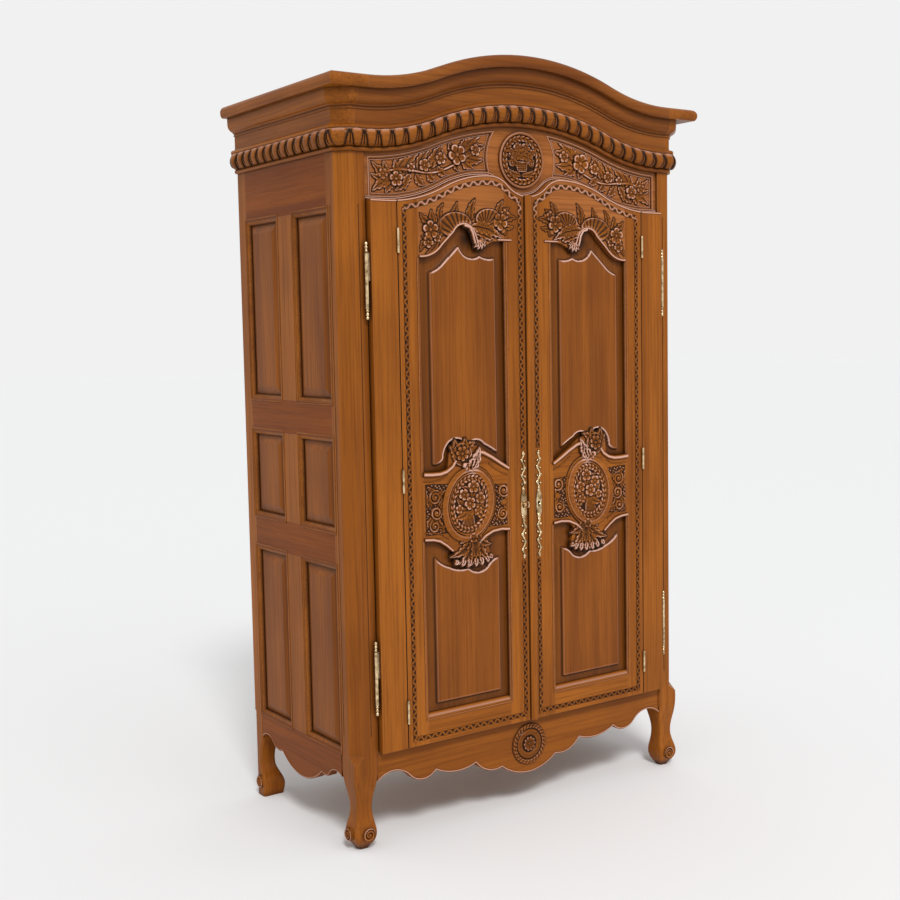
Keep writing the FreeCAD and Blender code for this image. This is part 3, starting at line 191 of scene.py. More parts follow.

# %% [markdown]
# ## Lacquered wood
# The boards are a straight-grained brown wood under a honey coloured, satin lacquer. Wood is drawn from noise
# that is stretched along the grain: wide soft bands for the growth rings, narrower streaks, and short dark
# pores. One texture in the object's own coordinates runs through a board as real wood does, so every moulding
# cuts it at its own angle. Each board shifts the pattern by a number of its own. Painted shade darkens the
# corners and recesses that ambient occlusion finds. The Bevel node rounds the edges for the light, and where
# its direction leaves the flat face's own, a painted highlight makes the edge paler. Carved pieces read their
# crest attribute instead: painted shade in low places, a painted highlight on high ones.

# %% A wood finish for any grain direction
def tone(red, green, blue):
    """A colour for a socket, from linear light values."""
    return (red, green, blue, 1.0)


def blended(tree, share, first, second):
    """The first colour turns into the second as the share goes from 0 to 1."""
    return node(tree, "Mix", {"data_type": "RGBA"}, {0: share, 6: first, 7: second}).outputs[2]


def remapped(tree, value, low, high, to_low=0.0, to_high=1.0):
    """A value that runs from low to high becomes one from to_low to to_high, and stops there."""
    return node(tree, "MapRange", (), {0: value, 1: low, 2: high, 3: to_low, 4: to_high}).outputs[0]


def noise(tree, place, scale, detail, distortion=0.0):
    """Clouds of numbers around a half."""
    settings = {"Vector": place, "Scale": scale, "Detail": detail, "Distortion": distortion}
    return node(tree, "TexNoise", (), settings).outputs[0]


def blank(name):
    """A new material and its emptied node tree."""
    material = bpy.data.materials.new(name)
    material.use_nodes = True
    material.node_tree.nodes.clear()
    return material, material.node_tree


def wood(name, grain, pale, middle, deep, gloss=0.34, coat=0.1, shaded_by_crest=False):
    """Lacquered wood. Grain is the axis along which the noise is stretched, 0, 1 or 2."""
    material, tree = blank(name)
    place = node(tree, "TexCoord").outputs["Object"]
    board = node(tree, "ObjectInfo").outputs["Random"]
    shift = node(tree, "VectorMath", {"operation": "SCALE"}, {0: (3.1, 5.3, 7.7), "Scale": board}).outputs[0]
    moved = maths(tree, "ADD", place, shift, "VectorMath")
    runs = []
    for share in (0.05, 0.02):
        stretch = [1.0, 1.0, 1.0]
        stretch[grain] = share
        runs.append(node(tree, "Mapping", (), {"Vector": moved, "Scale": stretch}).outputs[0])
    rings, patches = noise(tree, runs[0], 15.0, 2.0, 0.3), noise(tree, moved, 3.2, 2.0)
    streaks, pores = noise(tree, runs[1], 150.0, 3.0), noise(tree, runs[1], 700.0, 2.0)
    colour = blended(tree, remapped(tree, rings, 0.34, 0.66), middle, pale)
    for marks, low, most in ((streaks, 0.45, 0.5), (pores, 0.58, 0.45), (patches, 0.42, 0.3)):
        colour = blended(tree, remapped(tree, marks, low, 0.72, 0.0, most), colour, deep)
    # painted shade: the colour darkens towards a near-black brown in corners and recesses that ambient occlusion
    # finds
    hollow = node(tree, "AmbientOcclusion", {"samples": 6}, {"Distance": 0.022}).outputs["AO"]
    colour = blended(tree, remapped(tree, hollow, 0.25, 0.92, 0.9, 0.0), colour, tone(0.03, 0.009, 0.003))
    soft = node(tree, "Bevel", {"samples": 4}, {"Radius": 0.0014}).outputs[0]
    if shaded_by_crest:
        # painted shade where the crest attribute is low, and a painted highlight, a pale pinkish tone, where it is
        # high
        height = node(tree, "Attribute", {"attribute_name": "crest"}).outputs["Fac"]
        colour = blended(tree, remapped(tree, height, 0.0, 0.5, 0.98, 0.0), colour, tone(0.012, 0.004, 0.001))
        colour = blended(tree, remapped(tree, height, 0.58, 1.0, 0.0, 0.75), colour, tone(0.78, 0.49, 0.40))
    else:
        # painted highlight: a paler tone on outside edges, where the Bevel normal turns away from the flat face
        flat = node(tree, "NewGeometry").outputs["Normal"]
        turn = node(tree, "VectorMath", {"operation": "DOT_PRODUCT"}, {0: soft, 1: flat}).outputs[1]
        edge, open_place = remapped(tree, turn, 0.985, 0.86, 0.0, 0.5), remapped(tree, hollow, 0.55, 0.8)
        colour = blended(tree, maths(tree, "MULTIPLY", edge, open_place), colour, tone(0.55, 0.24, 0.11))
    bump = node(tree, "Bump", (), {"Strength": 0.25, "Distance": 0.0006, "Normal": soft,
                                   "Height": maths(tree, "ADD", pores, streaks)})
    skin = node(tree, "BsdfPrincipled", (), {
        "Base Color": colour, "Roughness": remapped(tree, pores, 0.35, 0.75, gloss, gloss + 0.16),
        "Normal": bump.outputs[0], "Coat Weight": coat, "Coat Roughness": 0.12, "Specular IOR Level": 0.07})
    node(tree, "OutputMaterial", (), {"Surface": skin.outputs[0]})
    return material


DEEP = tone(0.10, 0.024, 0.003)
BROWNS = tone(0.35, 0.107, 0.011), tone(0.25, 0.072, 0.007), DEEP
PANEL_BROWNS = tone(0.29, 0.086, 0.010), tone(0.20, 0.057, 0.007), DEEP
INNER_BROWNS = tone(0.42, 0.22, 0.10), tone(0.33, 0.16, 0.07), tone(0.2, 0.09, 0.04)
finishes = {
    "wood_upright_grain": wood("lacquered_upright", 2, *BROWNS),
    "wood_level_grain": wood("lacquered_level", 0, *BROWNS),
    "wood_returns": wood("lacquered_returns", 1, *BROWNS),
    "wood_panels": wood("lacquered_panels", 2, *PANEL_BROWNS),
    "carved_panels": wood("lacquered_carved_panels", 2, *PANEL_BROWNS, shaded_by_crest=True),
    "wood_carved": wood("lacquered_carved", 0, *BROWNS, 0.36, 0.08, shaded_by_crest=True),
    "inner_wood": wood("thin_finish", 2, *INNER_BROWNS, 0.5, 0.05),
}
shelf_wood = wood("thin_finish_level", 0, *INNER_BROWNS, 0.5, 0.05)
# the sides are a darker copy of the wood as painted shade, the upper rails and frieze a paler, pinker copy as
# painted sheen, the cornice a darker copy as painted shade
side_shade_wood = wood("lacquered_side_shade", 1, tone(0.25, 0.062, 0.004), tone(0.17, 0.038, 0.003), DEEP, 0.34, 0.04)
upper_sheen_wood = wood("lacquered_upper_sheen", 0, tone(0.40, 0.135, 0.034), tone(0.295, 0.095, 0.019), DEEP)
cornice_shade_wood = wood("lacquered_cornice_shade", 0, tone(0.27, 0.083, 0.012), tone(0.19, 0.054, 0.008), DEEP)
print("finishes", list(finishes))

# %% [markdown]
# ## Brass and browned steel
# Hinges, key plates and key are old brass: a metal whose colour sinks to brown in the corners and whose gloss
# varies with handling. The lock parts are plain browned steel.

# %% Two metals
def metal(name, bright, dull, smooth, rough):
    """A metal whose colour and gloss wander between two states, darker in its corners."""
    material, tree = blank(name)
    place = node(tree, "TexCoord").outputs["Object"]
    cloud, grit = noise(tree, place, 60.0, 4.0), noise(tree, place, 900.0, 2.0)
    colour = blended(tree, remapped(tree, cloud, 0.4, 0.7), bright, dull)
    hollow = node(tree, "AmbientOcclusion", {"samples": 6}, {"Distance": 0.004}).outputs["AO"]
    colour = blended(tree, remapped(tree, hollow, 0.3, 0.8, 0.8, 0.0), colour, tone(0.05, 0.03, 0.015))
    bump = node(tree, "Bump", (), {"Strength": 0.2, "Distance": 0.0003, "Height": grit})
    skin = node(tree, "BsdfPrincipled", (), {
        "Base Color": colour, "Metallic": 1.0, "Normal": bump.outputs[0],
        "Roughness": remapped(tree, cloud, 0.35, 0.7, smooth, rough)})
    node(tree, "OutputMaterial", (), {"Surface": skin.outputs[0]})
    return material


finishes["aged_brass"] = metal("aged_brass", tone(0.82, 0.62, 0.36), tone(0.20, 0.12, 0.05), 0.2, 0.4)
finishes["dark_steel"] = metal("browned_steel", tone(0.20, 0.17, 0.14), tone(0.09, 0.07, 0.055), 0.35, 0.55)
print("metals", finishes["aged_brass"].name, finishes["dark_steel"].name)

# %% [markdown]
# ## Every board gets its finish
# The record names a finish for each node. The side rails and side aprons run front to back, so they get wood
# whose grain does too, in a darker colour than the front: painted shade. The grain of the shelves, the floor
# and the dust board runs from side to side. The arched rails and the frieze are paler and pinker, a painted
# sheen, and the cornice is darker, painted shade.

# %% Finishes on the CAD nodes
slot_of = {part["node"]: part["material_slot"] for part in frame["record"]["subparts"]}
for name, board_object in frame["nodes"].items():
    finish = finishes[slot_of[name]]
    if name.endswith(("side_rails", "side_apron")):
        finish = side_shade_wood
    if name in ("shelves", "bottom_board", "dust_board"):
        finish = shelf_wood
    if name == "frieze_board" or name.endswith("_top_rail"):
        finish = upper_sheen_wood
    if name.startswith("front_cornice"):
        finish = cornice_shade_wood
    for material_slot in board_object.material_slots:
        material_slot.material = finish
print(len(slot_of), "nodes finished")

# %% [markdown]
# ## From arrays to meshes
# A carved or moulded piece is made of corner points and four-sided faces between neighbouring rows and
# columns of a grid. `Form` below is just a tuple: points, four-sided faces, outlines of flat end faces, and
# for each point how high it stands among its neighbours, which sets painted shade and highlights. The sum of
# a . (b x c) over all triangles is six times the volume, so its sign says whether the faces look outwards.

# %% Grids, solids and pieces
SUNK = -0.6


def grid_faces(rows, columns, around=False):
    """Faces between neighbouring rows and columns; around joins the last column to the first."""
    row = np.arange(rows - 1)[:, None]
    column = np.arange(columns if around else columns - 1)[None, :]
    follow = (column + 1) % columns
    first, second = row * columns, (row + 1) * columns
    return stacked(first + column, first + follow, second + follow, second + column).reshape(-1, 4)


def joined(forms):
    """Several forms as one: the corner numbers of each start after those before it."""
    points, faces, rims, crest, count = [], [], [], [], 0
    for form in forms:
        points.append(form[0])
        faces.append(form[1] + count)
        rims += [rim + count for rim in form[2]]
        crest.append(form[3])
        count += len(form[0])
    return np.concatenate(points), np.concatenate(faces), rims, np.concatenate(crest)


def mirrored(form):
    """The same form on the other side of the armoire: x changes its sign."""
    return form[0] * np.array([-1.0, 1.0, 1.0]), form[1], form[2], form[3]


def six_volumes(points, faces, rims):
    """The sum of a . (b x c) over all triangles of the faces and of the flat ends."""
    total = 0.0
    fans = [faces[:, [0, 1, 2]], faces[:, [0, 2, 3]]]
    fans += [stacked(np.full(len(rim) - 2, rim[0]), rim[1:-1], rim[2:]) for rim in rims]
    for fan in fans:
        a, b, c = (points[fan[:, k]] for k in range(3))
        total += np.einsum("ij,ij->", a, np.cross(b, c))
    return total


def add_piece(name, body, slot, form, crisp=40, finish=None):
    """Makes the mesh of a form, turns its faces outwards, gives it its finish and lets it ride on a body."""
    points, faces, rims, crest = form
    if six_volumes(points - points.mean(axis=0), faces, rims) < 0:
        faces = faces[:, ::-1]
        rims = [rim[::-1] for rim in rims]
    mesh = bpy.data.meshes.new(name)
    mesh.from_pydata((points * MM).tolist(), [], faces.tolist() + [rim.tolist() for rim in rims])
    mesh.attributes.new("crest", "FLOAT", "POINT").data.foreach_set("value", crest.astype(np.float32))
    mesh.polygons.foreach_set("use_smooth", np.ones(len(mesh.polygons), dtype=bool))
    mesh.set_sharp_from_angle(angle=math.radians(crisp))
    mesh.materials.append(finish or finishes[slot])
    piece = put(name, mesh)
    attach(piece, body)
    return piece


def add_pair(name, body, form):
    """A carving on the left and its mirror image on the right, on the case or on each side's own body."""
    for side, shape in (("left", form), ("right", mirrored(form))):
        add_piece(f"{side}_{name}", body if body == "case" else f"{side}_{body}", "wood_carved", shape)


# %% [markdown]
# ## Lines that the moulder follows
# The arched cornice and the doors' shaped tops are S-bends: two arcs that meet at a slope and run out level.
# Written as a height over the distance from the start, they can be used for whole arrays at once.

# %% The arch, the doors' tops, and runs with arcs
def s_bend(run_so_far, run, rise, first_share):
    """Height gained after some of the run. The first arc is r - sqrt(r^2 - t^2); the second is the same from
    the other end, taken off the rise. Both radii follow from the turn, twice the slope's angle."""
    turn = math.sin(2 * math.atan2(rise, run))
    t = np.clip(run_so_far, 0, run)
    near, far = first_share * run / turn, (1 - first_share) * run / turn
    start = near - np.sqrt(np.maximum(near**2 - t**2, 0))
    end = rise - far + np.sqrt(np.maximum(far**2 - (run - t) ** 2, 0))
    return np.where(t <= first_share * run, start, end)


def arch(x):
    """Rise of the cornice above its level ends, at x."""
    return s_bend(529.0 - np.abs(x), 529.0, 98.0, 0.43)


def door_top(x):
    """Height of the doors' upper edge at x: shoulder, peak at 128 from the middle, dip in the middle."""
    far = np.abs(x)
    outer = 1748.0 + s_bend(470.0 - far, 342.0, 80.0, 0.55)
    return np.where(far >= 128.0, outer, 1777.0 + s_bend(far, 128.0, 51.0, 0.54))


ARC = "arc"


def through(points, step=3.0):
    """A run of points: straight from one to the next, or on the circle through three where the middle is
    ARC."""
    run = [np.array([points[0][:2]], dtype=float)]
    middle = None
    start = np.array(points[0][:2], dtype=float)
    for point in points[1:]:
        if len(point) == 3:
            middle = np.array(point[:2], dtype=float)
            continue
        end = np.array(point[:2], dtype=float)
        if middle is None:
            run.append(end[None, :])
        else:
            first, second = middle - start, end - start
            cross = 2 * (first[0] * second[1] - first[1] * second[0])
            offset = np.array([second[1] * first @ first - first[1] * second @ second,
                               first[0] * second @ second - second[0] * first @ first]) / cross
            centre, radius = start + offset, math.hypot(*offset)
            angles = [math.atan2(*(p - centre)[::-1]) for p in (start, middle, end)]
            half, whole = ((angle - angles[0]) % (2 * math.pi) for angle in angles[1:])
            way = 1 if half < whole else -1
            sweep = (way * (angles[2] - angles[0])) % (2 * math.pi)
            count = max(3, int(radius * sweep / step))
            turn = angles[0] + way * sweep * np.arange(1, count + 1) / count
            run.append(centre + radius * stacked(np.cos(turn), np.sin(turn)))
        start, middle = end, None
    return np.concatenate(run)


def shares(table, width, height, start):
    """Shares of a width and a height, laid off from a start."""
    return [(start[0] + p[0] * width, start[1] + p[1] * height) + tuple(p[2:]) for p in table]


def gone_along(line):
    """Length of the line up to each of its points."""
    return np.concatenate([[0], np.cumsum(np.hypot(*np.diff(line, axis=0).T))])


def evenly(line, step):
    """The same line with points a step apart, so that a pattern along it keeps its pace."""
    gone = gone_along(line)
    place = np.linspace(0, gone[-1], max(2, int(gone[-1] / step)))
    return np.stack([np.interp(place, gone, line[:, k]) for k in range(2)], axis=-1)


print("arch rises", float(arch(0.0)), "door top at 300:", float(door_top(300.0)).__round__(1))

# %% [markdown]
# ## A section carried along a line
# Beads and panel mouldings are one section pushed along a line, as a moulding plane would cut them. At each
# point of the line the section stands across the mean of the two directions there. It is widened by 1 / cos
# of half the turn, which makes a true mitre at a corner.

# %% Carrying a section
def front_face(depth):
    """A place on an upright face that looks to the front: x, height, and how far it stands proud."""
    return lambda u, v, proud: stacked(u, depth - proud, v)


def left_face(x):
    """A place on the armoire's left side: distance from front to back, height, and proud to the left."""
    return lambda u, v, proud: stacked(x - proud, u, v)


def end_rims(rows, columns):
    """The outlines of the two flat ends of a tube."""
    first = np.arange(columns)
    return [first, (rows - 1) * columns + first[::-1]]


def carried(line, aside, proud, face, closed=False, crest=None):
    """The section (aside, proud) at each point of the line, as rows of a grid closed round the section."""
    line = np.asarray(line, dtype=float)
    before = np.roll(line, 1, axis=0)
    after = np.roll(line, -1, axis=0)
    if not closed:
        before[0] = 2 * line[0] - line[1]
        after[-1] = 2 * line[-1] - line[-2]
    ways = [step / np.hypot(*step.T)[:, None] for step in (line - before, after - line)]
    normals = [stacked(-way[:, 1], way[:, 0]) for way in ways]
    mean = normals[0] + normals[1]
    mean /= np.hypot(*mean.T)[:, None]
    mean /= np.maximum(np.einsum("ij,ij->i", mean, normals[0]), 0.4)[:, None]
    aside = np.broadcast_to(aside, (len(line), np.shape(aside)[-1]))
    proud = np.broadcast_to(proud, aside.shape)
    spots = line[:, None, :] + aside[..., None] * mean[:, None, :]
    points = face(spots[..., 0], spots[..., 1], proud)
    rows, columns = aside.shape
    faces = grid_faces(rows, columns, around=True)
    rims = end_rims(rows, columns)
    if closed:
        wrap = grid_faces(2, columns, around=True)
        faces = np.concatenate([faces, np.where(wrap >= columns, wrap - columns, wrap + (rows - 1) * columns)])
        rims = []
    # by default the section's foot gets painted shade and its top a painted highlight
    if crest is None:
        reach = max(float(proud.max()) - float(proud.min()), 0.1)
        crest = 0.04 + 0.78 * (proud - proud.min()) / reach
    return points.reshape(-1, 3), faces, rims, np.broadcast_to(crest, aside.shape).reshape(-1)


def half_round(width, height, count=9, foot=SUNK):
    """A half-round section: aside = -w/2 cos t, proud = foot + (height - foot) sin t."""
    t = np.linspace(0, math.pi, count)
    return -width / 2 * np.cos(t), foot + (height - foot) * np.sin(t)


# %% [markdown]
# ## Mouldings of the side panels
# Each raised panel sits in a frame. Next to the opening the frame carries a fine bead, and its inner edge is
# rounded over down to the panel. Both are sections carried once round the opening, with mitred corners.

# %% Side mouldings
t = np.linspace(0, math.pi / 2, 7)
ovolo_aside = np.concatenate([[0.3], -11.4 * np.sin(t), [-11.4, 0.3]])
ovolo_proud = np.concatenate([[-0.1], -1.2 - 10.4 * (1 - np.cos(t)), [-12.3, -12.3]])


columns_of_side = [(-198.5, -9.5), (86.5, 271.5)]
rows_of_side = [(266.0, 774.0), (870.0, 1120.0), (1216.0, 1726.0)]
side_forms = []
for low_y, high_y in columns_of_side:
    for low_z, high_z in rows_of_side:
        loop = [(low_y, low_z), (low_y, high_z), (high_y, high_z), (high_y, low_z)]
        side_forms.append(carried(loop, ovolo_aside, ovolo_proud, left_face(-HALF), closed=True))
        aside, proud = half_round(5.0, 1.6)
        side_forms.append(carried(loop, aside + 6.5, proud, left_face(-HALF), closed=True))
side_form = joined(side_forms)
# a weaker painted highlight on the side mouldings
side_form = (*side_form[:3], side_form[3] * 0.68)
add_pair("side_mouldings", "case", side_form)
print("side mouldings", len(side_form[1]), "faces a side")

# %% [markdown]
# ## Egg and dart
# Under the cornice runs a row of eggs in split shells with darts between. The carver starts from a plain
# quarter-round moulding, so the surface is that moulding's section moved along the cornice, and the pattern
# only says how far each place stands out from it. Round the canted corners the section turns in mitres.

# %% The pattern and its three runs
EGG_PITCH = 42.0


def egg_pattern(along, up):
    """Height over the moulding. Along counts eggs, up runs from 0 at the foot to 1 at the top. Each egg is a
    tall tongue 6 sqrt(1 - (a / w)^2) whose half width w grows upwards until neighbours touch, round at its
    foot. In the dark gap between two eggs stands a narrow dart."""
    a = (along - np.floor(along) - 0.5) * EGG_PITCH
    wide = 10.5 + 9.6 * unit(up / 0.92)
    egg = 6.2 * dome(a / wide) * dome(unit(0.24 - up) / 0.24)
    side = EGG_PITCH / 2 - np.abs(a)
    dart = 1.8 * unit(1 - side / (0.4 + 1.8 * unit(0.6 - up))) * unit((up - 0.05) * 5)
    rim = 5.4 * unit((up - 0.84) / 0.13) ** 2
    ends = unit(up / 0.05) * unit((1 - up) / 0.03)
    return np.maximum.reduce([egg, dart, np.broadcast_to(rim, egg.shape)]) * ends


ovolo = through([(8.4, 13.3), (21.8, 31.4, ARC), (14.0, 52.6)], 1.6)
ovolo_step = np.gradient(ovolo, axis=0)
ovolo_step /= np.hypot(*ovolo_step.T)[:, None]
ovolo_out = stacked(ovolo_step[:, 1], -ovolo_step[:, 0])
BAND_FOOT = 1870.0


def egg_run(eggs, place):
    """Rows along the cornice, columns up the moulding, with a plain back 1.5 inside the moulding."""
    steps = int(eggs) * 26 + 1
    along = np.linspace(0, eggs, steps)[:, None]
    up = np.linspace(0, 1, len(ovolo))[None, :]
    height = egg_pattern(along, up) - 0.3
    section = ovolo[None] + height[..., None] * ovolo_out[None]
    inside = np.broadcast_to(ovolo[::-1] - 1.5 * ovolo_out[::-1], section.shape)
    loop = np.concatenate([section, inside], axis=1)
    # painted shade in the gaps between the eggs, and a painted highlight that grows paler towards their tops and on
    # the fillet above
    shade = (0.45 + 0.3 * unit((up - 0.66) / 0.24)) * unit((height - 3.0) / 2.0)
    shade = np.where(up > 0.955, 1.0, shade)
    crest = np.concatenate([shade, np.zeros_like(height)], axis=1)
    points = place(along, loop[..., 0], BAND_FOOT + loop[..., 1])
    shape = loop.shape[:2]
    return points.reshape(-1, 3), grid_faces(*shape, around=True), end_rims(*shape), crest.reshape(-1)


CANT = 32.0
tilt = math.tan(math.pi / 8)


def along_front(along, out, up):
    """The front run follows the arch; its ends are mitred at half the corner's 45 degrees."""
    share = along / 27.0
    x = (share * 2 - 1) * (HALF - CANT + out * tilt)
    return stacked(x, np.broadcast_to(FRONT - out, x.shape), up + arch(x))


def along_side(along, out, up):
    """The side run goes from the wall to the canted corner."""
    y = BACK + along / 13.0 * (FRONT + CANT - out * tilt - BACK)
    return stacked(np.broadcast_to(-HALF - out, y.shape), y, up + 0 * y)


def along_cant(along, out, up):
    """One egg on the canted corner, between both mitres."""
    start = stacked(-HALF - out, FRONT + CANT - out * tilt)
    end = stacked(-HALF + CANT - out * tilt, FRONT - out)
    plan = start + along[..., None] * (end - start)
    return stacked(plan[..., 0], plan[..., 1], up + 0 * plan[..., 0])


side_run = joined([egg_run(13, along_side), egg_run(1, along_cant)])
add_pair("eggs_and_darts", "case", side_run)
front_run = egg_run(27, along_front)
add_piece("front_eggs_and_darts", "case", "wood_carved", front_run)
print("egg and dart", len(front_run[1]) + 2 * len(side_run[1]), "faces")

# %% [markdown]
# ## The carver's forms as heights
# Low relief is a height above its ground at every place of a fine grid. Each motif is one formula for that
# height over whole arrays, and NOWHERE outside the motif. The higher of two motifs wins, as one leaf lies on
# another. The other way, sculpting by hand, would give livelier forms but nothing that can be measured or
# changed.

# %% Leaves, flowers, shells, coils and ridges
NOWHERE = -9.0


def swell(share):
    """Rises from 0 to 1 as a quarter circle does: sqrt(1 - (1 - s)^2), and stays there."""
    s = unit(share)
    return np.sqrt(1 - (1 - s) ** 2)


def turned(u, v, centre, degrees):
    """Distances along and across a direction that leaves the centre at an angle."""
    c, s = math.cos(math.radians(degrees)), math.sin(math.radians(degrees))
    return (u - centre[0]) * c + (v - centre[1]) * s, (v - centre[1]) * c - (u - centre[0]) * s


def leaf(u, v, base, tip, width, height=4.0, bend=0.0, lobes=4, level=0.0):
    """A cupped, lobed leaf. Its midrib bends aside by bend x length x 4 t (1 - t); its half width is sin(pi
    t^0.75) times a row of round lobes |sin(pi lobes t)|; a groove marks the rib, slanting waves the veins."""
    length = math.hypot(tip[0] - base[0], tip[1] - base[1])
    along, across = turned(u, v, base, math.degrees(math.atan2(tip[1] - base[1], tip[0] - base[0])))
    t = np.clip(along / length, 0.001, 0.999)
    across = across - bend * length * 4 * t * (1 - t)
    half = width / 2 * np.sin(np.pi * t**0.75) * (0.7 + 0.3 * np.abs(np.sin(np.pi * lobes * t)))
    s = np.abs(across) / np.maximum(half, 0.01)
    cup = swell((1 - s) * half / 1.8) * (0.62 + 0.38 * s**1.5) * (0.75 + 0.25 * t)
    veins = 0.13 * np.cos(2 * np.pi * (2 * lobes * t - 1.3 * s)) * unit(s * 3)
    rise = height * (cup + veins * cup - 0.32 * bell(across / 1.1))
    return np.where((along > 0) & (along < length) & (s < 1), level + rise, NOWHERE)


def flower(u, v, centre, radius, height=5.0, petals=5, turn=0.0, level=0.0):
    """Petals with pinched edges: edge radius R (0.62 + 0.38 |cos(n a / 2)|^0.6), dished towards a round
    eye."""
    r, angle = np.hypot(u - centre[0], v - centre[1]), np.arctan2(v - centre[1], u - centre[0])
    wave = np.abs(np.cos(petals / 2 * (angle - turn)))
    s = r / (radius * (0.62 + 0.38 * wave**0.6))
    dish = swell((1 - s) * radius / 2.2) * (0.4 + 0.6 * s**1.2) * (1 - 0.6 * bell(wave * 3.2))
    eye = 0.85 * swell(1 - r / (0.26 * radius))
    return np.where(s < 1, level + height * np.maximum(dish, eye), NOWHERE)


def leaves(u, v, rows):
    """A leaf for each row: base, tip, width, height, bend, lobes and level."""
    return [leaf(u, v, row[:2], row[2:4], *row[4:]) for row in rows]


def leaf_fan(u, v, base, wide, high, rest, angles):
    """Leaves from one base to the points of an ellipse around it, alike but for their angles."""
    tips = [(base[0] + wide * math.cos(k), base[1] + high * math.sin(k)) for k in angles]
    return leaves(u, v, [(*base, *tip, *rest) for tip in tips])


def flowers(u, v, rows):
    """A flower of five petals for each row: centre, radius, height, turn and level."""
    return [flower(u, v, row[:2], *row[2:4], 5, *row[4:]) for row in rows]


def shell(u, v, centre, wide, high, lean, foot, ribs, height=5.0, level=0.0):
    """A fan inside an ellipse: ribs |cos| of the angle about its foot, with a thin raised rim."""
    a, b = turned(u, v, centre, lean)
    s = np.hypot(a / wide, b / high)
    angle = np.arctan2(v - foot[1], u - foot[0])
    ridges = 0.45 + 0.4 * np.abs(np.cos(ribs / 2 * angle)) ** 1.3 + 0.15 * s
    rim = 1.1 * bell((s - 0.93) * min(wide, high) / 1.5)
    return np.where(s < 1, level + height * np.maximum(ridges * swell((1 - s) * 9), rim), NOWHERE)


def ball(u, v, centre, radius, height, level=0.0):
    """Part of a ball: sqrt(1 - (r / R)^2)."""
    s = np.hypot(u - centre[0], v - centre[1]) / radius
    return np.where(s < 1, level + height * dome(s), NOWHERE)


def nearest(u, v, line):
    """For every place: distance to the line, run along the line to the nearest point, and the side."""
    line = np.asarray(line, dtype=float)
    spots = stacked(u.ravel(), v.ravel())[:, None, :]
    start, step = line[:-1][None], np.diff(line, axis=0)[None]
    long = np.maximum(np.einsum("ijk,ijk->ij", step, step), 1e-9)
    share = unit(np.einsum("ijk,ijk->ij", spots - start, step) / long)
    gap = spots - start - share[..., None] * step
    distance = np.hypot(gap[..., 0], gap[..., 1])
    best = distance.argmin(axis=1)
    pick = (np.arange(len(best)), best)
    before = np.concatenate([[0], np.cumsum(np.sqrt(long[0]))])
    run = before[best] + share[pick] * np.sqrt(long[0])[best]
    side = np.sign(step[0, best, 0] * gap[pick][:, 1] - step[0, best, 1] * gap[pick][:, 0])
    return distance[pick].reshape(u.shape), run.reshape(u.shape), side.reshape(u.shape)


def ridge(u, v, line, width, height, level=0.0):
    """A half-round ridge along a line, tapering a little to its end."""
    distance, run, _ = nearest(u, v, line)
    half = width / 2 * (1 - 0.35 * run / max(run.max(), 1e-6))
    return np.where(distance < half, level + height * dome(distance / half), NOWHERE)


def coil(u, v, centre, radius, turns, height, way=1, start=0.0, level=0.0):
    """A volute. The windings lie where (R - r) / R x turns - angle / 2 pi is whole; a ball is its eye."""
    r, angle = np.hypot(u - centre[0], v - centre[1]), np.arctan2(v - centre[1], u - centre[0])
    wind = (1 - r / radius) * turns - (way * angle - start) / (2 * np.pi)
    off = np.abs(wind - np.round(wind)) * 2
    rise = np.maximum(dome(off / 0.8), 1.3 * swell(1 - r / (0.3 * radius)))
    return np.where(r < radius, level + height * rise * swell((radius - r) / 1.5), NOWHERE)


def laurel(across, along, width, height):
    """A string of paired leaves that slant back from the middle. Along counts leaves."""
    side = np.abs(across) / (width / 2)
    part = along + 0.5 * side
    part = part - np.floor(part)
    rise = height * (0.3 + 0.7 * np.sin(np.pi * part) ** 0.7) * swell((1 - side) * width / 3)
    return np.where(side < 1, rise * (1 - 0.4 * bell(across / 0.8)), NOWHERE)


print("motifs ready:", [form.__name__ for form in (leaf, flower, shell, ball, ridge, coil, laurel)])

# %% [markdown]
# ## From heights to a solid
# Only the squares of the grid that carry height are kept. They get a copy as a back inside the wood, and
# walls along the border, so the carving is one closed solid with any outline. The crest attribute says how high
# a place stands above the mean around it; from it the material paints shade in low places and highlights on
# high ones. A narrow rim round each motif, just above the ground, carries the darkest painted shade.

# %% Relief solids, flat and round
def softened(height, cells):
    """The mean over a square of cells on either side, from running sums along both axes."""
    for axis in (0, 1):
        wide = [(cells + 1, cells) if k == axis else (0, 0) for k in (0, 1)]
        total = np.cumsum(np.pad(height, wide, mode="edge"), axis=axis)
        length = height.shape[axis]
        high = np.take(total, np.arange(length) + 2 * cells + 1, axis=axis)
        height = (high - np.take(total, np.arange(length), axis=axis)) / (2 * cells + 1)
    return height


def crest_of(height, cells=4, level=0.31, gain=0.3, ground=0.0):
    """0 in the ground, darkest with painted shade, about 0.5 on plain wood, 1 on edges with a painted highlight."""
    rise = np.clip(height, SUNK, None)
    return unit(level + gain * (rise - softened(rise, cells))) * unit((rise - ground) / 0.9)


def lit(u, v, crest, spots):
    """Adds painted highlights to a crest: each spot is a centre, a radius and a strength of exp(-(d /
    r)^2)."""
    for (cu, cv), radius, strength in spots:
        crest = crest + strength * np.exp(-((u - cu) ** 2 + (v - cv) ** 2) / radius**2) * (crest > 0.2)
    return unit(crest)


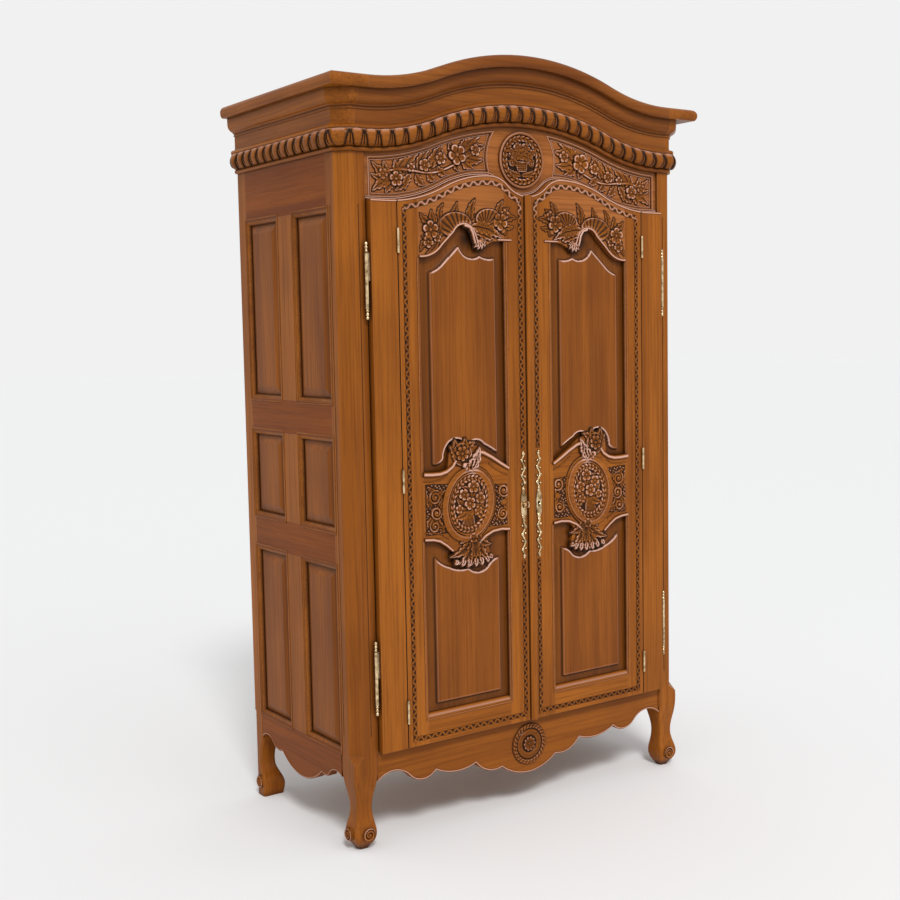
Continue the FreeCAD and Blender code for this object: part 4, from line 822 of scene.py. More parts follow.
def relief(u, v, height, face, back=-2.0, shade_rim_cells=2, crest=None):
    """A closed solid of the grid's squares that carry height, with a thin rim of painted shade some cells wide
    around.
    """
    height = np.maximum(height, SUNK)
    # a thin rim just above the ground round the motifs, which takes the darkest painted shade
    if shade_rim_cells:
        near = softened((height > 0.1).astype(float), shade_rim_cells) > 0.01
        height = np.where(near, np.maximum(height, 0.12), height)
    crest = crest_of(height) if crest is None else crest
    rows, columns = height.shape
    squares = grid_faces(rows, columns)
    kept = (height > SUNK + 0.05).ravel()[squares].any(axis=1).reshape(rows - 1, columns - 1)
    for _ in range(4):
        first, second, third, fourth = kept[:-1, :-1], kept[:-1, 1:], kept[1:, :-1], kept[1:, 1:]
        pinch = (first & fourth & ~second & ~third) | (second & third & ~first & ~fourth)
        kept[:-1, :-1] |= pinch
        kept[:-1, 1:] |= pinch
    around = np.pad(kept, 1)
    beside = (around[:-2, 1:-1], around[1:-1, 2:], around[2:, 1:-1], around[1:-1, :-2])
    count = rows * columns
    faces = [squares[kept.ravel()], squares[kept.ravel()][:, ::-1] + count]
    for k, neighbour in enumerate(beside):
        edge = squares[(kept & ~neighbour).ravel()]
        a, b = edge[:, k], edge[:, (k + 1) % 4]
        faces.append(stacked(b, a, a + count, b + count))
    used, faces = np.unique(np.concatenate(faces), return_inverse=True)
    levels = (height, np.full_like(height, back))
    points = np.concatenate([face(u, v, proud).reshape(-1, 3) for proud in levels])
    return points[used], faces.reshape(-1, 4), [], np.concatenate([crest.ravel(), crest.ravel()])[used]


def disc_relief(centre, radius, form, face, step=1.2, back=-0.5, ground=0.0):
    """A round relief on a polar grid; form gives the height at arrays of places, ground the level of darkest painted
    shade.
    """
    radii = np.linspace(0.4, radius, int(radius / step))[:, None]
    angle = np.arange(int(2 * np.pi * radius / step)) * step / radius
    angle = angle / angle[-1] * 2 * np.pi * (1 - 1 / len(angle))
    u, v = centre[0] + radii * np.cos(angle), centre[1] + radii * np.sin(angle)
    height = np.maximum(form(u, v), 0.1)
    crest = crest_of(height, 3, ground=ground)
    u, v, crest = (np.concatenate([part, part[-1:]]) for part in (u, v, crest))
    points = face(u, v, np.concatenate([height, np.full((1, len(angle)), back)]))
    rows, columns = u.shape
    rims = [np.arange(columns)[::-1], (rows - 1) * columns + np.arange(columns)]
    return points.reshape(-1, 3), grid_faces(rows, columns, around=True), rims, crest.ravel()


def field(low_u, high_u, low_v, high_v, step=1.4):
    """A grid of places, columns along u and rows along v."""
    return np.meshgrid(np.arange(low_u, high_u + step, step), np.arange(low_v, high_v + step, step))


print("a cell of the doors' carvings is 1.4 mm wide")

# %% [markdown]
# ## Edges of the doors' panels
# On the doors the opening is straight at the sides and the bottom, and shaped at the top rail and at the
# carved middle rail. The same rounded edge runs up the straight sides, and a slender bead follows the shaped
# top line.

# %% Door mouldings
WIDTH = OPEN_OUTER - OPEN_INNER
CHAPEAU = [(0.0, 0.0), (0.157, 0.10, ARC), (0.262, 0.367), (0.402, 0.78), (0.538, 1.0, ARC), (0.629, 0.78),
           (0.671, 0.44), (0.717, 0.34, ARC), (0.769, 0.40), (0.864, 0.54), (1.0, 0.54)]
chapeau_line = through(shares(CHAPEAU, WIDTH, 90.0, (-OPEN_OUTER, 1598.0)))
door_face = front_face(DOOR_FRONT)


def rod(line, width, height, crest=0.95, taper=0.0, lift=0.0, face=door_face, step=3.0):
    """A half-round moulding along a line, with a painted highlight on top and painted shade at its sides; taper
    narrows it towards its end.
    """
    line = evenly(np.asarray(line, dtype=float), step)
    aside, proud = half_round(1.0, 1.0, 11, foot=0.0)
    size = (1 - taper * np.linspace(0, 1, len(line)) ** 2)[:, None]
    rise = proud * height * size + SUNK * (1 - proud)
    shade = np.broadcast_to(0.15 + (crest - 0.15) * proud**3, rise.shape)
    return carried(line, aside * width * size + lift, rise, face, crest=shade)


door_forms = []
for low, high_outer, high_inner in ((339.0, 832.0, 833.0), (1012.0, 1598.0, 1646.0)):
    for x, high in ((-OPEN_OUTER, high_outer), (-OPEN_INNER, high_inner)):
        sign = 1 if x < -200 else -1
        door_forms.append(carried([(x, low), (x, high)], -sign * ovolo_aside, ovolo_proud, door_face))
        door_forms.append(rod([(x - sign * 6.5, low), (x - sign * 6.5, high)], 4.5, 1.6, 0.7, step=200))
low = 339.0
door_forms.append(carried([(-OPEN_OUTER, low), (-OPEN_INNER, low)], -ovolo_aside, ovolo_proud, door_face))
door_forms.append(rod([(-OPEN_OUTER - 8, low - 6.5), (-OPEN_INNER + 8, low - 6.5)], 4.5, 1.6, 0.7, step=200))
door_forms.append(rod(chapeau_line[chapeau_line[:, 0] < -176], 8.0, 4.6, 1.0, lift=3.2))
door_forms.append(rod([(-108, 1650.5), (-60, 1650.5)], 7.0, 3.6, 1.0))
door_form = joined(door_forms)
add_pair("door_mouldings", "main_leaf", door_form)
print("door mouldings", len(door_form[1]), "faces a door")

# %% [markdown]
# ## Raised panels with shaped fields
# The panel's flat field follows the rails' shapes: a pointed arch above, round loops towards the carved rail.
# The slope around it is hollow. Both come from one number for each place, its distance to the field's
# outline.

# %% The panels of both doors
def inside(u, v, loop):
    """True inside a closed loop: an upward ray crosses it an odd number of times."""
    start, end = loop[:, None, :], np.roll(loop, -1, axis=0)[:, None, :]
    x, z = u.ravel()[None], v.ravel()[None]
    crosses = (start[..., 0] > x) != (end[..., 0] > x)
    slope = np.where(crosses, end[..., 0] - start[..., 0], 1.0)
    level = start[..., 1] + (x - start[..., 0]) / slope * (end[..., 1] - start[..., 1])
    return ((crosses & (level > z)).sum(axis=0) % 2 == 1).reshape(u.shape)


def raised_panel(loop, rows, columns):
    """The panel's face: the field 3 below the door's face with a bead on its edge, a small step, then a
    hollow slope down to 12 below. The grid is fine only where the outline is curved."""
    loop = evenly(np.concatenate([loop, loop[:1]]), 2.5)
    u, v = np.meshgrid(columns, rows)
    distance = nearest(u, v, loop)[0]
    signed = np.where(inside(u, v, loop[:-1]), distance, -distance)
    share = unit(-signed / 30.0)
    slope = -6.0 - 5.8 * np.sin(share * np.pi / 2) ** 0.8
    bead = 2.0 * dome((signed - 1.0) / 3.0)
    proud = np.where(signed > 0, -3.0, np.where(signed > -1.4, -3.0 + 2.1 * signed, slope)) + bead
    # crest of the panel: 0.5 on the field, a painted highlight on its bead, painted shade on the slope and darker at
    # its foot, and a painted shadow under the moulding's curl
    hook_shadow = np.exp(-(((u + 206.0) / 26.0) ** 2 + ((v - 1652.0) / 26.0) ** 2))
    foot = bell((signed + 3.4) / 2.2)
    straight = np.minimum.reduce([u - loop[:, 0].min(), loop[:, 0].max() - u, v - loop[:, 1].min()])
    gleam = bead / 3.6 * (1 - 0.8 * bell((straight - 1.0) / 5.0))
    crest = np.where(signed > 4, 0.5, np.where(signed > -1.4, 0.5 + gleam, 0.34 - 0.3 * foot)) * (1 - hook_shadow)
    height, width = proud.shape
    number = np.arange(height * width).reshape(height, width)
    around = np.concatenate([number[0], number[1:, -1], number[-1, :-1][::-1], number[1:-1, 0][::-1]])
    points = door_face(u, v, proud).reshape(-1, 3)
    rear = points[around] * np.array([1.0, 0.0, 1.0]) + np.array([0.0, DOOR_FRONT + 19.5, 0.0])
    count, ring = len(points), np.arange(len(around))
    skirt = stacked(around[np.roll(ring, -1)], around, ring + count, np.roll(ring, -1) + count)
    return (np.concatenate([points, rear]), np.concatenate([grid_faces(height, width), skirt]),
            [ring[::-1] + count], np.concatenate([crest.ravel(), np.full(len(around), 0.4)]))


def paces(*stops):
    """Places from stop to stop; each stop is an end and the step that leads to it."""
    run = [np.array([stops[0][0]], dtype=float)]
    for (low, _), (high, step) in zip(stops[:-1], stops[1:]):
        run.append(np.linspace(low, high, max(2, round((high - low) / step) + 1))[1:])
    return np.concatenate(run)


FIELD_OUTER, FIELD_INNER = -335.0, -118.0
upper_top = through([
    (FIELD_OUTER, 1557), (-314, 1565, ARC), (-291, 1582), (-264, 1606, ARC), (-239, 1628), (-226, 1609, ARC),
    (-197, 1597), (-183, 1597.5, ARC), (-168, 1604), (-152, 1598, ARC), (FIELD_INNER, 1598)])
upper_foot = through([
    (FIELD_INNER, 1058), (-140, 1072, ARC), (-163, 1084), (-181, 1096, ARC), (-202, 1096), (-216, 1091, ARC),
    (-231, 1094), (-258, 1105, ARC), (-282, 1097), (-297, 1078, ARC), (-303, 1052), (-318, 1040, ARC),
    (FIELD_OUTER, 1039)])
lower_top = through([
    (FIELD_OUTER, 778), (-313, 759, ARC), (-288, 748), (-255, 737, ARC), (-223, 738), (-188, 723, ARC),
    (-156, 734), (-142, 748, ARC), (FIELD_INNER, 757)])
lower_foot = [(FIELD_INNER, 375.0), (FIELD_OUTER, 375.0)]
columns = paces((-OPEN_OUTER, 1.0), (-329.0, 1.6), (-124.0, 2.0), (-OPEN_INNER, 1.6))
upper_rows = paces((998.0, 1.0), (1020.0, 6.0), (1118.0, 1.9), (1545.0, 30.0), (1640.0, 1.9), (1688.0, 6.0))
lower_rows = paces((339.0, 1.0), (385.0, 1.6), (700.0, 30.0), (790.0, 1.9), (846.0, 6.0))
upper = raised_panel(np.concatenate([upper_top, upper_foot]), upper_rows, columns)
lower = raised_panel(np.concatenate([lower_top, lower_foot]), lower_rows, columns)
for side in ("left", "right"):
    for place, form in (("upper", upper), ("lower", lower)):
        shaped = form if side == "left" else mirrored(form)
        piece = add_piece(f"{side}_{place}_raised_panel", f"{side}_main_leaf", "wood_panels", shaped, 50,
                          finishes["carved_panels"])
        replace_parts(piece, f"{side}_{place}_panel")
print("panel faces", len(upper[1]), len(lower[1]))

# %% [markdown]
# ## The sprays above the doors' panels
# On each top rail a spray of shells, flowers and leaves rises from the moulding's curl, which rolls over and
# ends in a lobed tip with a painted highlight, with one big leaf drooping to the right. The places were read
# from the photograph through the camera, so the parts stand where the carver put them. The right door's spray
# is the mirror image.

# %% Sprays on the top rails
u, v = field(-372, -26, 1600, 1764)
above = v - np.interp(u, chapeau_line[:, 0], chapeau_line[:, 1])
spray = np.maximum.reduce([
    *leaves(u, v, [
        (-332, 1690, -366, 1716, 22, 3.2, 0.10, 3), (-335, 1650, -368, 1612, 20, 3.0, -0.10, 3),
        (-318, 1690, -327, 1728, 20, 3.0, 0.12, 3), (-300, 1694, -287, 1746, 20, 3.0, 0.14, 4),
        (-268, 1706, -242, 1752, 20, 3.0, -0.10, 4), (-196, 1702, -181, 1762, 26, 3.6, 0.12, 4),
        (-214, 1706, -204, 1742, 18, 3.0, -0.12, 3), (-104, 1712, -84, 1762, 24, 3.6, 0.10, 4),
        (-80, 1702, -38, 1712, 20, 3.2, 0.14, 3), (-84, 1690, -48, 1690, 16, 2.8, -0.14, 3),
        (-92, 1690, -80, 1662, 18, 3.0, 0.12, 3), (-104, 1730, -62, 1742, 16, 2.8, -0.1, 3),
        (-335, 1664, -362, 1652, 16, 2.6, 0.1, 3), (-306, 1652, -350, 1606, 22, 3.2, 0.12, 4),
        (-288, 1676, -316, 1636, 22, 3.6, -0.12, 4, 0.4), (-290, 1664, -300, 1706, 20, 3.8, 0.16, 4, 1.0),
        (-178, 1690, -112, 1690, 22, 3.6, 0.10, 5, 0.8), (-202, 1684, -92, 1652, 40, 5.4, 0.10, 7, 1.4),
        (-186, 1668, -112, 1641, 20, 4.4, 0.06, 5, 1.6)]),
    *flowers(u, v, [
        (-333, 1672, 25, 6.0, 0.4, 1.0), (-341, 1640, 17, 5.0, 1.0, 0.8), (-312, 1652, 13, 4.6, 0.2, 0.8),
        (-99, 1700, 25, 6.0, 0.9, 1.2), (-82, 1722, 14, 4.6, 0.3, 0.8)]),
    shell(u, v, (-251, 1688), 55, 35, 4, (-232, 1652), 26, 4.6, 0.6),
    shell(u, v, (-141, 1708), 42, 27, 8, (-150, 1684), 22, 4.6, 0.6), ball(u, v, (-88, 1676), 8, 5.0, 0.6),
    ball(u, v, (-66, 1722), 6, 3.6), ball(u, v, (-118, 1672), 6, 5.0, 1.4)])
spray = np.where(above > 6.5, spray, NOWHERE)
spray = np.maximum.reduce([
    spray, ridge(u, v, [(-218, 1687), (-203, 1682), (-194, 1668), (-190, 1652), (-186, 1640)], 9, 7.0, 0.6),
    *leaves(u, v, [(-172, 1650, *place, 12, 6.5, 0.1, 2, 1.6) for place in (
        (-190, 1627), (-179, 1620), (-164, 1620), (-151, 1628), (-147, 1640))])])
# painted shade in the spray's low places, and painted highlights on its crests and on the curl's tip
shade = crest_of(np.maximum(spray, 0.12), level=0.24)
shade = lit(u, v, shade, [((-168, 1632), 17, 0.6), ((-196, 1668), 10, 0.3)])
form = relief(u, v, spray, door_face, crest=shade)
add_pair("top_spray", "main_leaf", form)
print("spray", len(form[1]), "faces")

# %% [markdown]
# ## The carved middle rails
# Each middle rail is a cartouche. An oval with a plain double ring leans 14 degrees; a string of leaves and a
# bouquet fill it. Above it stand a shell and a folded leaf between two bold mouldings, below it a spray
# between two more. Small scrolls on a dark ground fill the fields at its sides. The oval's formulas work in
# its own turned coordinates: distance from its ring, and angle around it.

# %% Cartouches
OVAL, LEAN = (-217.0, 920.0), -14.0
u, v = field(-374, -80, 728, 1106)
a, b = turned(u, v, OVAL, LEAN)
share_of_oval = np.hypot(a / 72.0, b / 88.0)
around = np.arctan2(b / 88.0, a / 72.0)
out = (share_of_oval - 1) * 80.0
wreath = np.where(np.abs(out + 13) < 9, laurel(out + 13, around * 30 / (2 * np.pi), 17, 5.2), NOWHERE)
rings = np.maximum.reduce([
    np.where(np.abs(out - centre) < wide, 0.2 + high * dome((out - centre) / wide), NOWHERE)
    for centre, wide, high in ((-1.5, 2.6, 5.0), (6.5, 4.6, 5.6), (14.0, 2.6, 3.6))])
bouquet = np.maximum.reduce(
    [ridge(u, v, [(-228 + 6 * k, 848), (-222 + 4 * k, 878), (-216 + 1.4 * k, 908)], 4.2, 4.0)
     for k in range(-4, 5)]
    + leaf_fan(u, v, (-216, 905), 64, 60, (24, 4.0, 0.14, 4, 0.3),
               (-0.75, -0.2, 0.35, 0.9, 1.35, 1.9, 2.4, 2.95, 3.5))
    + leaf_fan(u, v, (-214, 930), 60, 58, (20, 4.2, -0.2, 4, 1.0), (0.1, 0.7, 1.15, 1.75, 2.3, 2.9))
    + flowers(u, v, [
        (-207, 968, 19, 5.4, 0.3, 2.0), (-240, 948, 17, 5.2, 1.0, 1.8), (-184, 934, 17, 5.2, 0.1, 1.8),
        (-220, 922, 19, 5.6, 0.7, 2.6), (-255, 908, 13, 4.6, 0.2, 1.4), (-190, 900, 13, 4.6, 0.6, 1.4)]))
bouquet = np.where(out < -20, bouquet, NOWHERE)
scrolls = np.maximum.reduce([
    *leaves(u, v, [
        (-330, 928, -300, 964, 19, 4.2, 0.2, 3, 0.4), (-326, 890, -299, 860, 19, 4.2, -0.2, 3, 0.4),
        (-344, 922, -361, 966, 17, 4.0, 0.2, 3, 0.4), (-318, 962, -356, 982, 17, 4.0, 0.2, 3, 0.4),
        (-320, 918, -302, 938, 14, 3.8, 0.2, 2, 0.4), (-342, 892, -362, 862, 17, 4.0, -0.15, 3, 0.4),
        (-324, 862, -306, 846, 15, 3.8, 0.2, 2, 0.4), (-104, 912, -87, 976, 18, 4.2, -0.25, 4, 0.4),
        (-112, 918, -90, 860, 18, 4.2, 0.25, 4, 0.4), (-114, 960, -104, 984, 15, 3.8, 0.2, 3, 0.4),
        (-118, 892, -128, 866, 13, 3.8, 0.2, 3, 0.4)]),
    coil(u, v, (-335, 948), 21, 2.2, 4.4, 1, 1.0), coil(u, v, (-331, 905), 19, 2.0, 4.4, -1, 0.4),
    coil(u, v, (-338, 868), 17, 2.0, 4.4, 1, 2.0), coil(u, v, (-100, 948), 19, 2.0, 4.4, -1, 0.6),
    coil(u, v, (-104, 882), 18, 2.0, 4.4, 1, 2.2), ball(u, v, (-98, 914), 10, 5.0)])
waves = np.sin(u * 0.52 + 1.3 * np.sin(v * 0.21)), np.sin(v * 0.47 + np.sin(u * 0.33))
curls = 3.0 * unit(1.6 * waves[0] * waves[1] - 0.15)
scrolls = np.maximum(scrolls, np.where(curls > 0.1, curls, NOWHERE))
beyond = (out > 18) & (u > -363) & (u < -88)
beyond &= (v > 846 + (u + 363) * 0.02) & (v < 984 - np.abs(u + 350) * 0.08)
ground = np.where(beyond & ((u < -298) | (u > -128)), 0.12, NOWHERE)
scrolls = np.where(beyond, scrolls, NOWHERE)
crown = np.maximum.reduce([
    *leaves(u, v, [
        (-262, 1040, -284, 1086, 26, 4.6, -0.12, 4, 0.6), (-256, 1072, -266, 1104, 22, 4.4, 0.1, 3, 0.6),
        (-236, 1078, -232, 1106, 20, 4.4, -0.1, 3, 0.6), (-226, 1068, -196, 1092, 22, 4.4, 0.14, 4, 0.6),
        (-266, 1036, -268, 1068, 18, 4.4, -0.2, 4, 1.6), (-232, 1012, -184, 1080, 36, 8.0, -0.12, 4, 4.0),
        (-214, 1016, -196, 1068, 18, 9.5, -0.1, 3, 5.0), (-244, 1030, -206, 1004, 24, 7.0, 0.18, 4, 4.0)]),
    shell(u, v, (-242, 1060), 33, 33, 0, (-232, 1034), 22, 4.4, 1.0),
    flower(u, v, (-243, 1062), 22, 5.0, 7, 0.3, 3.0), ball(u, v, (-236, 1030), 8, 8.0, 3.0)])
foot = np.maximum.reduce([
    *leaves(u, v, [
        (-206, 832, -292, 776, 30, 5.0, 0.14, 6, 0.8), (-206, 828, -262, 752, 32, 5.4, 0.14, 6, 1.4),
        (-206, 828, -222, 742, 32, 5.8, 0.10, 6, 2.0), (-200, 828, -182, 742, 32, 5.6, -0.10, 6, 1.8),
        (-196, 828, -150, 756, 30, 5.4, -0.14, 6, 1.4), (-190, 832, -142, 800, 24, 4.8, -0.2, 4, 1.0),
        (-230, 840, -256, 812, 18, 4.2, 0.2, 3, 2.2), (-194, 840, -172, 814, 18, 4.2, -0.2, 3, 2.2)]),
    *leaves(u, v, [(x, 768, x + aside, z, 15, 7.0, 0.1, 2, 4.0) for x, aside, z in (
        (-264, -12, 754), (-244, -8, 746), (-226, -5, 741), (-206, 2, 740), (-188, 6, 742), (-170, 10, 748),
        (-158, 14, 760))]),
    flower(u, v, (-210, 824), 15, 5.6, 5, 0.3, 3.0)])
inner_ground = np.where(out < -19, 0.12, NOWHERE)
height = np.maximum.reduce([ground, inner_ground, wreath, rings, bouquet, scrolls, crown, foot])
# painted shade and highlights: the thin ground sheets and the rims round the motifs get the darkest tone, the crown
# and the foot more of the dark tone, the scrolls a little more, the plain rings mid brown, and lit adds painted
# highlights
plain = (rings >= height - 0.01) & (rings > 0.5)
shade = crest_of(np.maximum(height, 0.12)) - 0.14 * (np.maximum(crown, foot) >= height)
shade = shade - 0.1 * (scrolls >= height)
shade = np.where(plain, 0.30 + 0.06 * np.maximum(rings, 0), shade)
shade = lit(u, v, np.where(height < 0.13, 0.03, shade), [
    ((-212, 1038), 26, 0.5), ((-190, 1070), 16, 0.35), ((-212, 745), 30, 0.3), ((-250, 752), 24, 0.3),
    ((-172, 750), 22, 0.3), ((-206, 1008), 14, 0.3)])
cartouche = relief(u, v, height, door_face, crest=shade)
bold = [
    ([(-372, 1013), (-345, 1011), (-318, 1011), (-296, 1016), (-276, 1028), (-264, 1044)], 14, 8.4, 1.0, 0.25),
    ([(-196, 1066), (-170, 1060), (-141, 1045), (-110, 1026), (-82, 1010)], 14, 8.4, 1.0, 0.2),
    ([(-372, 834), (-345, 832), (-322, 826), (-300, 812), (-278, 794)], 11, 6.4, 1.0, 0.3),
    ([(-82, 836), (-110, 839), (-140, 836), (-168, 824), (-188, 808), (-196, 790)], 11, 6.4, 1.0, 0.2),
    ([(-84, 992), (-104, 999), (-128, 1012), (-150, 1028)], 4, 2.4, 0.6),
    ([(-370, 994), (-340, 992), (-314, 995), (-290, 1006)], 4, 2.4, 0.6),
    ([(-370, 852), (-340, 850), (-314, 843), (-290, 828)], 4, 2.4, 0.6)]
cartouche = joined([cartouche] + [rod(*row, step=2) for row in bold])
add_pair("cartouche", "main_leaf", cartouche)
print("cartouche", len(cartouche[1]), "faces")

# %% [markdown]
# ## The running border and the doors' lips
# A narrow band of leaves runs round each main leaf. It is a section carried along the line like a moulding,
# but its height changes from place to place: triangles are cut from both edges in turn, and the wood left
# between them reads as a string of leaves. Its cells are 1.9 mm long, a little more
# than in the other carvings, because a border this long must stay light.

# %% Borders, lips and the apron's edge
BAND_WIDTH, BAND_STEP = 13.0, 1.9
BORDER_FOOT, BORDER_OUTER, BORDER_INNER = 285.0, -415.0, -28.0


def running_leaves(line, pitch):
    """The band's height where a = offset / half width and p = run / pitch: 2 with a vein, and down to the
    ground, dark with painted shade, inside triangles |p - p0| < 0.22 (0.45 + side a) that open to one edge and
    then to the other. The leaves carry a painted highlight that grows paler along the doors' arched tops."""
    parts = [line]
    if len(line) < 8:
        parts = [evenly(np.array(ends, dtype=float), BAND_STEP) for ends in zip(line[:-1], line[1:])]
    run = np.concatenate([parts[0]] + [part[1:] for part in parts[1:]])
    gone = gone_along(run)[:, None] / pitch
    a = np.linspace(-1, 1, 11)[None, :]
    phase = gone - np.floor(gone)
    cut = np.maximum(0.22 * (0.45 + a) - np.abs(phase - 0.25), 0.22 * (0.45 - a) - np.abs(phase - 0.75))
    vein = 0.5 * bell((a - 0.5 * np.sin(2 * np.pi * gone)) / 0.16)
    rise = np.where(cut > 0, 0.15, 0.4 + 1.6 * swell(-cut * pitch / 1.6) - vein) * np.ones_like(gone + a)
    shade = unit(rise / 1.9) * (0.44 + 0.34 * unit((run[:, 1:] - 1690) / 50))
    edge = np.full((len(run), 1), SUNK)
    rise, shade = np.hstack([edge, rise, edge]), np.hstack([edge * 0, shade, edge * 0])
    return carried(run, np.concatenate([[-1.03], a[0], [1.03]]) * BAND_WIDTH / 2, rise, door_face, crest=shade)


def top_run(low, high, drop, step):
    """The doors' upper edge between two places, moved down."""
    x = np.arange(low, high, step)
    x = np.append(x, high)
    return stacked(x, door_top(x) - drop)


top_line = evenly(top_run(BORDER_OUTER, BORDER_INNER, 22.0, 2.0), BAND_STEP)
inner_top, outer_top = ((x, float(door_top(x)) - 22.0) for x in (BORDER_INNER, BORDER_OUTER))
inner_foot, outer_foot = (BORDER_INNER, BORDER_FOOT), (BORDER_OUTER, BORDER_FOOT)
border = joined([
    running_leaves(top_line, 31.0),
    running_leaves([inner_top, (BORDER_INNER, 1061.0)], 24.0),
    running_leaves([(BORDER_INNER, 737.0), inner_foot, outer_foot, outer_top], 24.0),
])
lip = rod(top_run(-434.5, -14.5, 3.4, 2.0), 6.0, 1.7, 1.0)
main_edges = joined([border, lip])
outer_edges = rod(top_run(-518.5, -438.2, 3.4, 2.0), 6.0, 1.7, 1.0)
edges = {"left": (main_edges, outer_edges), "right": (mirrored(main_edges), mirrored(outer_edges))}
for side, (inner, outer) in edges.items():
    add_piece(f"{side}_running_border", f"{side}_main_leaf", "wood_carved", inner)
    add_piece(f"{side}_outer_lip", f"{side}_outer_leaf", "wood_carved", outer)

APRON = [(0.0, 0.0, ARC), (0.193, 0.197), (0.270, 0.188, ARC), (0.370, 0.376), (0.450, 0.320, ARC),
         (0.634, 0.424), (0.724, 0.326, ARC), (0.805, 0.444), (0.910, 0.573, ARC), (1.0, 0.466)]
half_apron = shares(APRON, 522.5, 178.0, (0, 99.0))
whole_apron = [(-point[0],) + point[1:] for point in half_apron[:0:-1]] + half_apron
apron_line = through([point[:2] + ((ARC,) if len(point) == 3 else ()) for point in whole_apron])
apron_face = front_face(FACE)
SIDE_APRON = [(0.0, 0.46), (0.075, 0.52, ARC), (0.151, 0.34), (0.19, 0.31, ARC), (0.232, 0.335),
              (0.480, 0.0, ARC), (0.734, 0.335), (0.790, 0.305, ARC), (0.850, 0.39), (0.935, 0.53, ARC),
              (1.0, 0.43)]
side_line = through(shares(SIDE_APRON, 470.0, 133.0, (-198.5, 133.0)))
front_edge = rod(apron_line, 5.0, 1.8, 0.95, lift=3.2, face=apron_face)
add_piece("front_apron_edge", "case", "wood_carved", front_edge)
side_edge = rod(side_line, 5.0, 1.6, 0.8, lift=3.2, face=left_face(-HALF))
add_pair("apron_edge", "case", side_edge)
print("border", len(border[1]), "faces")

# %% [markdown]
# ## The frieze
# Two sunk fields follow the cornice's arch above and the doors' tops below. Each holds a waving stem with
# flowers and leaves. The spray is laid out in shares of the field, along it and up it, and bent into place
# with it.

# %% Frieze sprays, frames and the double bead above the doors
frieze_floor = front_face(FACE + 4.0)
FIELD_END, ISLAND, MEDALLION_Z, ROSETTE_Z = 504.0, 124.0, 1877.0, 185.0


def field_foot(x):
    """The sunk field's lower edge."""
    return door_top(x) + 12.0


def field_head(x):
    """The sunk field's upper edge."""
    return 1855.0 + arch(x)


def at(along, up):
    """A place in the left field: along runs from its outer end to the medallion, up from its lower edge."""
    x = -FIELD_END + along * 388.0
    low, high = float(field_foot(np.array(x))), float(field_head(np.array(x)))
    return x, low + up * (high - low)


u, v = field(-FIELD_END + 1, -100, 1758, 1966, 1.3)
stem = [at(s, 0.46 + 0.2 * math.sin(7.5 * s)) for s in np.linspace(0.06, 0.95, 40)]
leaf_table = [
    (0.20, 0.45, 0.02, 0.94, 30, 0.1), (0.20, 0.42, 0.01, 0.60, 28, 0.1),
    (0.18, 0.38, 0.02, 0.10, 30, -0.1), (0.20, 0.36, 0.13, 0.03, 24, -0.1),
    (0.17, 0.50, 0.12, 0.96, 24, 0.12), (0.26, 0.50, 0.21, 0.95, 25, 0.14),
    (0.22, 0.52, 0.33, 0.93, 24, 0.12), (0.28, 0.55, 0.42, 0.96, 26, 0.12),
    (0.34, 0.48, 0.29, 0.08, 25, -0.14), (0.38, 0.45, 0.46, 0.04, 26, -0.12),
    (0.40, 0.48, 0.51, 0.96, 27, 0.14), (0.46, 0.42, 0.57, 0.74, 24, 0.12),
    (0.48, 0.38, 0.55, 0.04, 25, -0.12), (0.52, 0.42, 0.62, 0.96, 27, 0.12),
    (0.56, 0.42, 0.65, 0.04, 25, -0.12), (0.72, 0.60, 0.66, 0.98, 26, 0.1),
    (0.76, 0.62, 0.80, 0.98, 26, -0.1), (0.78, 0.60, 0.95, 0.96, 31, 0.1),
    (0.80, 0.52, 0.99, 0.66, 31, 0.1), (0.80, 0.46, 0.97, 0.32, 30, -0.1),
    (0.77, 0.42, 0.89, 0.05, 29, -0.12), (0.72, 0.42, 0.75, 0.04, 27, -0.1),
    (0.30, 0.36, 0.20, 0.12, 20, 0.1), (0.64, 0.50, 0.58, 0.98, 20, 0.1)]
sprays = leaves(u, v, [(*at(s0, t0), *at(s1, t1), wide, 4.2, bend, 4, 0.1 + 0.25 * (k % 3))
                       for k, (s0, t0, s1, t1, wide, bend) in enumerate(leaf_table)])
sprays += [ridge(u, v, stem, 8.0, 4.4)] + flowers(u, v, [(*at(s, t), *rest) for s, t, *rest in (
    (0.215, 0.42, 21, 6.0, 0.4, 1.6), (0.11, 0.58, 15, 5.0, 1.0, 1.4), (0.73, 0.55, 29, 6.6, 0.8, 1.8),
    (0.45, 0.60, 18, 5.4, 0.1, 1.6), (0.59, 0.60, 17, 5.2, 0.5, 1.6), (0.89, 0.58, 17, 5.2, 0.2, 1.8),
    (0.34, 0.64, 13, 5.0, 0.3, 1.4))])
island = np.hypot(u, v - MEDALLION_Z) - ISLAND
clear = np.minimum.reduce([v - field_foot(u), field_head(u) - v, island, u + FIELD_END])
sprays = np.where(clear > 6.5, np.maximum.reduce(sprays), NOWHERE)
frieze_spray = relief(u, v, sprays, frieze_floor, back=-1.5, shade_rim_cells=2)

